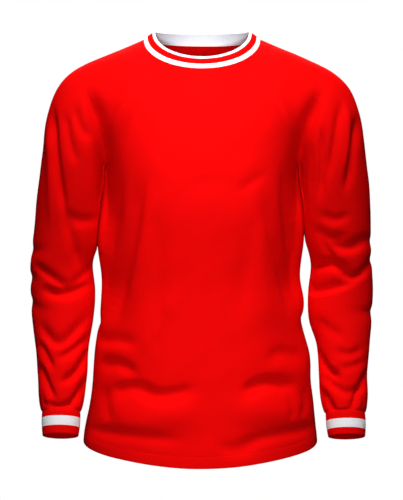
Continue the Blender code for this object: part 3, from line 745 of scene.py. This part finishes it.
# %% [markdown]
# ## Sewing
#
# Neighbouring pieces share the points along their seam. The machine stitch pulls the cloth in there, so
# each seam lies in a shallow groove. Where the cloth runs on, both pieces also share their normals, so that
# light runs on across the seam.


# %% Say where the seams are
def seams():
    """Every seam, as two pieces and their matching places."""
    top, around = UP_SIDE + UP_ARMHOLE, 2 * UP_ARMHOLE
    quarter, half = ACROSS // 4, ACROSS // 2
    side, ups = np.arange(UP_SIDE + 1), np.arange(UP_ARMHOLE + 1)
    for a, b in ((0, ACROSS), (ACROSS, 0)):
        yield "front", (side, side * 0 + a), "back", (side, side * 0 + b)
    for start in (0, ACROSS - quarter):
        span = start + np.arange(quarter + 1)
        yield "front", (span * 0 + top, span), "back", (span * 0 + top, ACROSS - span)
    for name, start in (("front", 0), ("back", half)):
        neck = np.arange(half + 1)
        yield name, (neck * 0 + top, quarter + neck), "neckband", (neck * 0, (start + neck) % ACROSS)
    for name, column in (("sleeve_right", 0), ("sleeve_left", ACROSS)):
        yield "front", (UP_SIDE + ups, ups * 0 + column), name, (ups * 0, UP_ARMHOLE - ups)
        behind = (UP_ARMHOLE + ups) % around
        yield "back", (UP_SIDE + ups, ups * 0 + ACROSS - column), name, (ups * 0, behind)
    for side_name in ("right", "left"):
        ring = np.arange(around)
        yield "sleeve_" + side_name, (ring * 0 + ALONG_SLEEVE, ring), "cuff_" + side_name, (ring * 0, ring)


def grid_normals(points, closed, flip):
    """Unit normals of a grid of points, pointing out of the garment."""
    if closed:
        around = np.roll(points, -1, axis=1) - np.roll(points, 1, axis=1)
    else:
        around = np.gradient(points, axis=1)
    return unit(np.cross(around, np.gradient(points, axis=0))) * (-1 if flip else 1)


def shared_normals():
    """The normals of every piece, made alike along each seam where the cloth runs on."""
    normals = {name: grid_normals(points, name in TUBES, name in FLIPPED) for name, points in cloth.items()}
    for first, places, second, partners in list(seams()) * 2:
        a, b = normals[first][places], normals[second][partners]
        agree = smoothstep(0.0, 0.6, (a * b).sum(axis=-1, keepdims=True))
        normals[first][places] = unit(a + agree * b)
        normals[second][partners] = unit(b + agree * a)
    return normals


def join():
    """Brings neighbouring pieces together along every seam."""
    for first, places, second, partners in list(seams()) * 3:
        middle = (cloth[first][places] + cloth[second][partners]) / 2
        cloth[first][places] = middle
        cloth[second][partners] = middle


print("there are", len(list(seams())), "stretches of seam")

# %% [markdown]
# ## Neckband and cuffs
#
# Both are rib knit, folded double and sewn in as a ring. Their stripes are knitted in with other yarn, so
# they are colour only. A rib is a fine ridge that runs from the seam to the edge.

# %% Lay the rows of the rib so that the stripes start on a row
ROWS_IN_STRIPE = 5


def rib_rows(edges, white):
    """Where the rows lie from seam to edge, and which stretches between them are white."""
    rows, whites = [0.0], []
    for low, high, pale in zip(edges[:-1], edges[1:], white):
        rows += list(np.linspace(low, high, ROWS_IN_STRIPE + 1)[1:])
        whites += [pale] * ROWS_IN_STRIPE
    return rows, whites


band_rows, band_white = rib_rows(BAND_ROWS, BAND_WHITE)
cuff_rows = {side: rib_rows(edges, CUFF_WHITE)[0] for side, edges in CUFF_ROWS.items()}
cuff_white = rib_rows(CUFF_ROWS["right"], CUFF_WHITE)[1]
print("the neckband has", len(band_rows), "rows and a cuff has", len(cuff_rows["right"]))


# %% Shape the neckband and the cuffs
def neckband():
    """The neckband from its seam up to its free edge, front half first."""
    shares = np.linspace(-1, 1, ACROSS // 2 + 1)
    rows = []
    for up in band_rows:
        ring = {}
        for name in ("half", "side_z"):
            ring[name] = NECK_SEAM[name] + (NECK_EDGE[name] - NECK_SEAM[name]) * up
        for side in ("front", "back"):
            low, high = np.array(NECK_SEAM[side]), np.array(NECK_EDGE[side])
            ring[side] = low + (high - low) * up
        front_half = neck_points(ring, "front", shares)
        back_half = neck_points(ring, "back", shares[::-1])
        rows.append(np.concatenate([front_half[:-1], back_half[:-1]]))
    return np.array(rows)


def cuff(last, before, side):
    """A cuff that carries a sleeve on from its last ring, a little narrower towards its free edge."""
    middle = last.mean(axis=0)
    lift = math.radians(CUFF_LIFT)
    drift = (middle - before.mean(axis=0))[0] * FINE
    along = unit(np.array([drift, -math.sin(lift) * 0.02, -math.cos(lift) * 0.02]))
    rings = []
    for share in cuff_rows[side]:
        scale = 1 + (CUFF_END - 1) * share**2
        rings.append(middle + along * CUFF_LENGTH * share + (last - middle) * scale)
    return np.array(rings)


cloth = {
    "front": front,
    "back": back,
    "sleeve_right": right,
    "sleeve_left": left,
    "cuff_right": cuff(right[-1], right[-2], "right"),
    "cuff_left": cuff(left[-1], left[-2], "left"),
    "neckband": neckband(),
}
TUBES = ("sleeve_right", "sleeve_left", "cuff_right", "cuff_left", "neckband")
FLIPPED = ("sleeve_right", "cuff_right")
join()
print("cut", len(cloth), "pieces:", ", ".join(cloth))

# %% [markdown]
# ## Fold, gather and stitch down
#
# First every fold of the tables is pressed in. Then each sleeve is gathered where it is sewn to its tight
# cuff: it puffs out, makes small pleats just above the seam and slumps a little over the cuff, the wearer's
# left one more than the right. Last, the seams and the hem's stitch line are drawn in.

# %% Press the folds
FADE_AT_ARMHOLE = 0.030
armhole_edge = np.concatenate([cloth["sleeve_right"][0], cloth["sleeve_left"][0]])
normals = shared_normals()
sunk = {}
for name in ("front", "back", "sleeve_right", "sleeve_left"):
    points = cloth[name]
    apart = np.min(
        [np.linalg.norm(points - spot, axis=-1) for spot in armhole_edge[::4]],
        axis=0,
    )
    calm = smoothstep(0.002, FADE_AT_ARMHOLE, apart)
    sink = normals[name] * unevenness(points)[..., None]
    for row in (*BODY_FOLDS, *BACK_FOLDS, *SLEEVE_FOLDS, *BEHIND_FOLDS, *ELBOW_FOLDS):
        fold = dict(zip(FOLD_COLUMNS, row))
        if name not in PIECES_ON[fold["on"]]:
            continue
        over_seam = fold["on"].endswith("_all")
        depth = fold_depth(fold, points, normals[name]) * (1 if over_seam else calm)
        # A fold across the armhole is pressed straight in, so both sides of the seam stay together.
        out = np.array(VIEWS[fold["seen"]]) if over_seam else normals[name]
        sink = sink - out * depth[..., None]
    sunk[name] = sink
for name, sink in sunk.items():
    cloth[name] = cloth[name] + sink
    print(name, "sinks up to", round(1000 * float(np.linalg.norm(sink, axis=-1).max()), 1), "mm")

# %% Gather the sleeves into the cuffs
PUFF = {"sleeve_right": (0.0008, 0.0008), "sleeve_left": (0.0008, 0.0024)}
PUFF_HEIGHT = 0.009
PLEAT = 0.0012
PLEAT_HEIGHT = 0.014
PLEATS_AROUND = ((7, 0.4), (11, 1.9), (17, 3.1))
turn = np.linspace(0, 2 * math.pi, 2 * UP_ARMHOLE + 1)[:-1]
for name, (outward, slump) in PUFF.items():
    points, out = cloth[name], grid_normals(cloth[name], True, name in FLIPPED)
    step = np.linalg.norm(np.diff(points.mean(axis=1), axis=0), axis=1)
    above = np.concatenate([np.cumsum(step[::-1])[::-1], [0]])[:, None]
    puffed = (above / PUFF_HEIGHT) * np.exp(1 - above / PUFF_HEIGHT)
    pleated = (above / PLEAT_HEIGHT) * np.exp(1 - above / PLEAT_HEIGHT)
    waves = sum(np.cos(count * turn + start) for count, start in PLEATS_AROUND) / len(PLEATS_AROUND)
    down = unit(points[-1].mean(axis=0) - points[-8].mean(axis=0))
    moved = out * (outward * puffed + PLEAT * pleated * waves)[..., None]
    moved = moved + down * (slump * puffed)[..., None]
    moved[-1] = 0
    cloth[name] = points + moved
    print(name, "puffs out by", outward * 1000, "mm and slumps by", slump * 1000, "mm")

# %% Draw in the seams and the hem
SEAM_DEPTH = 0.0005
HEM_HEIGHT = 0.020
HEM_LINE = 0.0004
HEM_LINE_WIDE = 0.0025
HEM_RISE = 0.0004
HEM_EASE = 0.004
join()
normals = shared_normals()
for first, places, second, partners in seams():
    for name, spots in ((first, places), (second, partners)):
        cloth[name][spots] -= normals[name][spots] * SEAM_DEPTH / 2
for name in ("front", "back"):
    step = np.linalg.norm(np.diff(cloth[name], axis=0), axis=-1)
    above = np.concatenate([np.zeros((1, ACROSS + 1)), np.cumsum(step, axis=0)])
    groove = np.exp(-(((above - HEM_HEIGHT) / HEM_LINE_WIDE) ** 2)) * HEM_LINE
    turned_up = smoothstep(HEM_HEIGHT, HEM_HEIGHT - HEM_EASE, above) * HEM_RISE
    cloth[name] = cloth[name] + normals[name] * (turned_up - groove)[..., None]
join()
normals = shared_normals()
print("seams drawn in by", SEAM_DEPTH * 1000, "mm")

# %% [markdown]
# ## Ribs
#
# The neckband and the cuffs get their ribs as real ridges. They need more points around than the seam has,
# so each ring is first divided more finely on a smooth curve, and the ribs fade out at the seam.

# %% Divide a ring more finely, and raise its ribs
RIB_PITCH = 0.0028
RIB_HEIGHT = 0.00028
RIB_LEVEL = 0.6
RIB_CROWN = 0.0006
FINER_ROUND = {"neckband": 5, "cuff_right": 3, "cuff_left": 3}


def finer_round(points, times):
    """The same closed rings with more points, on a smooth curve through the old ones."""
    before, after = np.roll(points, 1, axis=1), np.roll(points, -1, axis=1)
    beyond = np.roll(points, -2, axis=1)
    steps = []
    for t in np.arange(times) / times:
        square = (2 * before - 5 * points + 4 * after - beyond) * t**2
        cube = (3 * points - before - 3 * after + beyond) * t**3
        steps.append(points + 0.5 * ((after - before) * t + (square + cube)))
    return np.stack(steps, axis=2).reshape(points.shape[0], -1, 3)


for name, times in FINER_ROUND.items():
    points, out = finer_round(cloth[name], times), unit(finer_round(normals[name], times))
    around = np.linalg.norm(np.diff(points[-1], axis=0, append=points[-1][:1]), axis=1).sum()
    count = round(around / RIB_PITCH)
    turn = np.linspace(0, 2 * math.pi, points.shape[1] + 1)[:-1]
    up = np.linspace(0, 1, len(points))[:, None]
    ridge = RIB_HEIGHT * (np.abs(np.cos(count * turn / 2)) - RIB_LEVEL) * smoothstep(0, 0.12, up)
    crown = RIB_CROWN * np.sin(math.pi * up)
    cloth[name] = points + out * (ridge + crown)[..., None]
    normals[name] = out
    print(name, "has", count, "ribs around", round(around, 3), "m")

# %% [markdown]
# ## Thickness
#
# Cloth is thin, but where it ends, at the hem, the cuffs and the neck, its turned edge shows. Each piece
# becomes a closed wall. Its outer face, a round turn at the free edge and its inner face are one band of
# rows, and the band is closed again at the seam end. The wall also gets a flat map in metres, along which
# the knit will run.


# %% Turn a grid of points into a wall of cloth
def round_edge(points, out, thickness, steps=5):
    """Draws the free edge back by half the thickness and returns the rows that turn it inwards."""
    beyond = unit(points[-1] - points[-2])
    points[-1] = points[-1] - beyond * thickness / 2
    middle = points[-1] - out[-1] * thickness / 2
    rows = []
    for angle in np.linspace(0, math.pi, steps + 2)[1:-1]:
        rows.append(middle + thickness / 2 * (out[-1] * math.cos(angle) + beyond * math.sin(angle)))
    return rows


def wall(name, points, out, thickness, closed, flip, free_edge, white, materials):
    """A closed wall of cloth with shared points, a flat map in metres, and stripes by row."""
    points = points.copy()
    turned = round_edge(points, out, thickness) if free_edge else []
    inner = (points - out * thickness)[::-1]
    band = np.concatenate([points, np.array(turned).reshape(-1, *points.shape[1:]), inner])
    rows, across = band.shape[:2]
    outer_rows = len(points)
    place = np.arange(rows * across).reshape(rows, across)
    steps = across if closed else across - 1
    c, d = np.arange(steps), (np.arange(steps) + 1) % across
    r, s = np.arange(rows), (np.arange(rows) + 1) % rows
    corners = [place[np.ix_(r, c)], place[np.ix_(r, d)], place[np.ix_(s, d)], place[np.ix_(s, c)]]
    faces = np.stack(corners, axis=-1).reshape(-1, 4)
    width = np.linalg.norm(np.diff(band, axis=1, append=band[:, :1]), axis=-1).mean(axis=0)
    u = np.concatenate([[0], np.cumsum(width)])
    height = np.linalg.norm(np.diff(band, axis=0, append=band[:1]), axis=-1).mean(axis=1)
    v = np.concatenate([[0], np.cumsum(height)])
    grid_u, grid_v = np.meshgrid(np.arange(steps), np.arange(rows))
    flat = []
    for du, dv in ((0, 0), (1, 0), (1, 1), (0, 1)):
        flat.append(np.stack([u[grid_u + du], v[grid_v + dv]], axis=-1).reshape(-1, 2))
    flat = np.stack(flat, axis=1)
    pale = np.zeros(rows, int)
    if white:
        pale[: outer_rows - 1] = white
        pale[outer_rows - 1 :] = 1 if name == "neckband" else 0
        if name != "neckband":
            mirrored = np.array(white)[::-1]
            pale[rows - outer_rows : rows - 1] = mirrored
    slots = np.repeat(pale, steps)
    faces = faces[:, ::-1] if flip else faces
    flat = flat[:, ::-1] if flip else flat
    faces, flat, slots = faces.tolist(), list(flat), list(slots)
    if not closed:
        for column, order in ((0, 1), (across - 1, -1)):
            for i in range(outer_rows - 1):
                quad = place[[i, i + 1, rows - 2 - i, rows - 1 - i], column]
                faces.append([int(p) for p in quad[::order]])
                flat.append(np.tile([u[column], v[i]], (4, 1)))
            if free_edge:
                rim = place[outer_rows - 1 : rows - outer_rows + 1, column]
                faces.append([int(p) for p in rim[::order]])
                flat.append(np.tile([u[column], v[outer_rows]], (len(rim), 1)))
            slots += [0] * (outer_rows - 1 + bool(free_edge))
    mesh = bpy.data.meshes.new(name)
    mesh.from_pydata(band.reshape(-1, 3).tolist(), [], faces)
    mesh.uv_layers.new(name="cloth").data.foreach_set("uv", np.concatenate(flat).ravel())
    for material in materials:
        mesh.materials.append(material)
    mesh.polygons.foreach_set("material_index", np.array(slots, dtype=np.int32))
    mesh.shade_smooth()
    mesh.set_sharp_from_angle(angle=math.radians(50))
    piece = bpy.data.objects.new(name, mesh)
    bpy.context.collection.objects.link(piece)
    return piece


print("the knit is", KNIT * 1000, "mm thick and the rib", RIB * 1000, "mm")

# %% [markdown]
# ## The knit
#
# Jersey knit is rows of small V-shaped loops, about 1.2 mm apart here. That is too fine to model, so a
# shader node group works out the height of each loop from the flat map and a Bump node tilts the light with
# it. The group is built once, and each cloth sets its own loop size. A second group gives every yarn its
# slight unevenness of colour.


# %% Build the node groups
def new_group(name, inputs, outputs):
    """An empty shader node group with named sockets, its input node and its output node."""
    tree = bpy.data.node_groups.new(name, "ShaderNodeTree")
    for label, kind, value in inputs:
        socket = tree.interface.new_socket(label, in_out="INPUT", socket_type=kind)
        if value is not None:
            socket.default_value = value
    for label, kind in outputs:
        tree.interface.new_socket(label, in_out="OUTPUT", socket_type=kind)
    return tree, tree.nodes.new("NodeGroupInput"), tree.nodes.new("NodeGroupOutput")


def sums(tree):
    """A function that adds one Math node after another to a tree."""

    def math_node(operation, *values):
        node = tree.nodes.new("ShaderNodeMath")
        node.operation = operation
        for socket, value in zip(node.inputs, values):
            if isinstance(value, bpy.types.NodeSocket):
                tree.links.new(value, socket)
            else:
                socket.default_value = value
        return node.outputs[0]

    return math_node


def knit_loops_group():
    """Height of knitted loops on a flat map in metres: columns of V shapes, Wale apart and Course high."""
    inputs = (
        ("Map", "NodeSocketVector", None),
        ("Wale", "NodeSocketFloat", 0.0012),
        ("Course", "NodeSocketFloat", 0.0010),
    )
    tree, given, result = new_group("knit_loops", inputs, (("Height", "NodeSocketFloat"),))
    node = sums(tree)
    apart = tree.nodes.new("ShaderNodeSeparateXYZ")
    tree.links.new(given.outputs["Map"], apart.inputs[0])
    wale = node("DIVIDE", apart.outputs["X"], given.outputs["Wale"])
    course = node("DIVIDE", apart.outputs["Y"], given.outputs["Course"])
    leg = node("FRACT", node("MULTIPLY", wale, 2.0))
    lean = node("ABSOLUTE", node("SUBTRACT", node("FRACT", wale), 0.5))
    loop = node("FRACT", node("ADD", course, node("MULTIPLY", lean, 1.4)))
    humps = []
    for share, power in ((leg, 2.0), (loop, 4.0)):
        off_middle = node("ABSOLUTE", node("SUBTRACT", node("MULTIPLY", share, 2.0), 1.0))
        humps.append(node("SUBTRACT", 1.0, node("POWER", off_middle, power)))
    tree.links.new(node("MULTIPLY", *humps), result.inputs["Height"])
    return tree


def yarn_tone_group():
    """A colour slightly lighter and darker in soft patches, and a value that follows the same patches."""
    inputs = (
        ("Colour", "NodeSocketColor", (1, 1, 1, 1)),
        ("Amount", "NodeSocketFloat", 0.05),
        ("Size", "NodeSocketFloat", 0.02),
    )
    outputs = (("Colour", "NodeSocketColor"), ("Patch", "NodeSocketFloat"))
    tree, given, result = new_group("yarn_tone", inputs, outputs)
    node = sums(tree)
    place = tree.nodes.new("ShaderNodeTexCoord")
    noise = tree.nodes.new("ShaderNodeTexNoise")
    noise.inputs["Detail"].default_value = 3
    tree.links.new(place.outputs["Object"], noise.inputs["Vector"])
    tree.links.new(node("DIVIDE", 1.0, given.outputs["Size"]), noise.inputs["Scale"])
    off_middle = node("SUBTRACT", noise.outputs[0], 0.5)
    value = node("ADD", 1.0, node("MULTIPLY", off_middle, given.outputs["Amount"]))
    tint = tree.nodes.new("ShaderNodeHueSaturation")
    tree.links.new(value, tint.inputs["Value"])
    tree.links.new(given.outputs["Colour"], tint.inputs["Color"])
    tree.links.new(tint.outputs[0], result.inputs["Colour"])
    tree.links.new(noise.outputs[0], result.inputs["Patch"])
    return tree


knit_loops, yarn_tone = knit_loops_group(), yarn_tone_group()
print("node groups:", knit_loops.name, yarn_tone.name)

# %% [markdown]
# ## The finishes
#
# All cloth here is dull polyester knit with almost no gloss, so the red stays deep even in full light. The
# rib has coarser loops than the jersey cloth, and the thread has finer ones than both.

# %% Make the cloth materials
RED = (0.80, 0.0012, 0.0014, 1)
WHITE = (0.86, 0.87, 0.89, 1)
GLOSS = 0.02
BUMP_STRENGTH = 0.6
TONE_AMOUNT = 0.06
TONE_SIZE = 0.03
ROUGHNESS_SPREAD = 0.05
KNIT_LOOPS = {"wale": 0.0012, "course": 0.0010, "bump_height": 0.00010, "roughness": 0.80}
RIB_LOOPS = {"wale": 0.0014, "course": 0.0012, "bump_height": 0.00012, "roughness": 0.82}
THREAD_LOOPS = {"wale": 0.0004, "course": 0.0008, "bump_height": 0.00005, "roughness": 0.7}


def knitted(name, colour, wale, course, bump_height, roughness):
    """A knitted cloth in one colour."""
    material = bpy.data.materials.new(name)
    material.use_nodes = True
    tree = material.node_tree
    shader = tree.nodes["Principled BSDF"]
    shader.inputs["Specular IOR Level"].default_value = GLOSS
    flat_map = tree.nodes.new("ShaderNodeUVMap")
    flat_map.uv_map = "cloth"
    loops = tree.nodes.new("ShaderNodeGroup")
    loops.node_tree = knit_loops
    loops.inputs["Wale"].default_value = wale
    loops.inputs["Course"].default_value = course
    tree.links.new(flat_map.outputs[0], loops.inputs["Map"])
    bump = tree.nodes.new("ShaderNodeBump")
    bump.inputs["Strength"].default_value = BUMP_STRENGTH
    bump.inputs["Distance"].default_value = bump_height
    tree.links.new(loops.outputs["Height"], bump.inputs["Height"])
    tree.links.new(bump.outputs[0], shader.inputs["Normal"])
    tone = tree.nodes.new("ShaderNodeGroup")
    tone.node_tree = yarn_tone
    tone.inputs["Colour"].default_value = colour
    tone.inputs["Amount"].default_value = TONE_AMOUNT
    tone.inputs["Size"].default_value = TONE_SIZE
    tree.links.new(tone.outputs["Colour"], shader.inputs["Base Color"])
    rough = tree.nodes.new("ShaderNodeMapRange")
    rough.inputs["To Min"].default_value = roughness - ROUGHNESS_SPREAD
    rough.inputs["To Max"].default_value = roughness + ROUGHNESS_SPREAD
    tree.links.new(tone.outputs["Patch"], rough.inputs["Value"])
    tree.links.new(rough.outputs[0], shader.inputs["Roughness"])
    return material


red_knit = knitted("red_knit", RED, **KNIT_LOOPS)
red_rib = knitted("red_rib", RED, **RIB_LOOPS)
white_rib = knitted("white_rib", WHITE, **RIB_LOOPS)
red_thread = knitted("red_thread", RED, **THREAD_LOOPS)
print("finishes:", red_knit.name, red_rib.name, white_rib.name, red_thread.name)

# %% Build the seven pieces
FINISH = {
    "front": [red_knit],
    "back": [red_knit],
    "sleeve_right": [red_knit],
    "sleeve_left": [red_knit],
    "cuff_right": [red_rib, white_rib],
    "cuff_left": [red_rib, white_rib],
    "neckband": [red_rib, white_rib],
}
built = {}
for name, materials in FINISH.items():
    points, out = cloth[name], normals[name]
    rib = len(materials) > 1
    panel_like = name in ("front", "back")
    if panel_like:
        points, out = points[::-1], out[::-1]
    flip = (name in FLIPPED) != panel_like
    white = {"neckband": band_white, "cuff_right": cuff_white, "cuff_left": cuff_white}.get(name, [])
    thickness = RIB if rib else KNIT
    free_edge = rib or panel_like
    built[name] = wall(name, points, out, thickness, name in TUBES, flip, free_edge, white, materials)
    print(name, len(built[name].data.polygons), "faces")

# %% [markdown]
# ## The hem's stitches
#
# The hem is turned up 2 cm and stitched down with two parallel rows. Each stitch is a short thread that
# lies partly sunk in the cloth and thins out at both ends.

# %% Sew two rows of stitches above the hem
STITCH_LENGTH = 0.0030
STITCH_STEP = 0.0037
THREAD = 0.00028
THREAD_SIDES = 6
THREAD_RAISED = 0.4
THREAD_PROFILE = ((0, 0.2), (0.15, 0.8), (0.5, 1.0), (0.85, 0.8), (1, 0.2))
LOOK_ON = 0.001
ROW_HEIGHTS = (0.0175, 0.0225)


def line_above_hem(name, height):
    """Points and normals of the panel at one height above its hem."""
    points, out = cloth[name], normals[name]
    step = np.linalg.norm(np.diff(points, axis=0), axis=-1)
    above = np.concatenate([np.zeros((1, points.shape[1])), np.cumsum(step, axis=0)])
    places, ups = [], []
    for column in range(points.shape[1]):
        places.append([np.interp(height, above[:, column], points[:, column, axis]) for axis in range(3)])
        ups.append([np.interp(height, above[:, column], out[:, column, axis]) for axis in range(3)])
    return np.array(places), unit(np.array(ups))


def stitches(name):
    """All the stitches above one panel's hem, as one mesh."""
    points, faces = [], []
    for height in ROW_HEIGHTS:
        line, out = line_above_hem(name, height)
        reach = np.concatenate([[0], np.cumsum(np.linalg.norm(np.diff(line, axis=0), axis=1))])
        for start in np.arange(STITCH_STEP / 2, reach[-1] - STITCH_LENGTH, STITCH_STEP):
            rings = []
            for share, thick in THREAD_PROFILE:
                at = start + share * STITCH_LENGTH
                spot = np.array([np.interp(at, reach, line[:, axis]) for axis in range(3)])
                up = unit(np.array([np.interp(at, reach, out[:, axis]) for axis in range(3)]))
                after = np.array([np.interp(at + LOOK_ON, reach, line[:, axis]) for axis in range(3)])
                side = unit(np.cross(up, unit(after - spot)))
                for angle in np.arange(THREAD_SIDES) * 2 * math.pi / THREAD_SIDES:
                    turned = side * math.cos(angle) + up * (math.sin(angle) + THREAD_RAISED)
                    rings.append(spot + THREAD * thick * turned)
            base = len(points)
            points += rings
            last = base + (len(THREAD_PROFILE) - 1) * THREAD_SIDES
            for low in range(base, last, THREAD_SIDES):
                high = low + THREAD_SIDES
                for a in range(THREAD_SIDES):
                    b = (a + 1) % THREAD_SIDES
                    faces.append((low + a, low + b, high + b, high + a))
            faces.append(tuple(base + i for i in reversed(range(THREAD_SIDES))))
            faces.append(tuple(last + i for i in range(THREAD_SIDES)))
    mesh = bpy.data.meshes.new("hem_stitches_" + name)
    mesh.from_pydata([tuple(p) for p in points], [], faces)
    mesh.uv_layers.new(name="cloth")
    mesh.materials.append(red_thread)
    mesh.shade_smooth()
    piece = bpy.data.objects.new(mesh.name, mesh)
    bpy.context.collection.objects.link(piece)
    return piece


hem_stitches = {name: stitches(name) for name in ("front", "back")}
thread_faces = sum(len(piece.data.polygons) for piece in hem_stitches.values())
faces_each = (len(THREAD_PROFILE) - 1) * THREAD_SIDES + 2
print("stitched the hem with", thread_faces // faces_each, "stitches")

# %% [markdown]
# ## Put the pieces in place of the solids
#
# Every piece rides on the one body of the part and stands for its own solid, which is hidden. The table
# lists for each piece the flat size of what shows. The sizes of the panels and the sleeves are rounded
# measures of this cloth. The cuffs are about a tenth smaller around than the ring at their seam, because
# rib is stretched when it is sewn on.

# %% Ride and replace
CUT = {
    "front": ((0.570, 0.750), 0.335, "hung", ()),
    "back": ((0.550, 0.755), 0.320, "hung", ()),
    "sleeve_right": ((0.440, 0.640), 0.190, "hung", ("front", "back")),
    "sleeve_left": ((0.440, 0.640), 0.190, "hung", ("front", "back")),
    "cuff_right": ((0.185, 0.043), None, "hung", ("sleeve_right",)),
    "cuff_left": ((0.185, 0.043), None, "hung", ("sleeve_left",)),
    "neckband": ((0.480, 0.027), None, "hung", ("front", "back")),
}
for name, (flat, area, held, on) in CUT.items():
    piece = built[name]
    own = [hem_stitches[name]] if name in hem_stitches else []
    for part in (piece, *own):
        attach(part, "root")
    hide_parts(name)
print("the jersey has", len(built) + len(hem_stitches), "pieces")
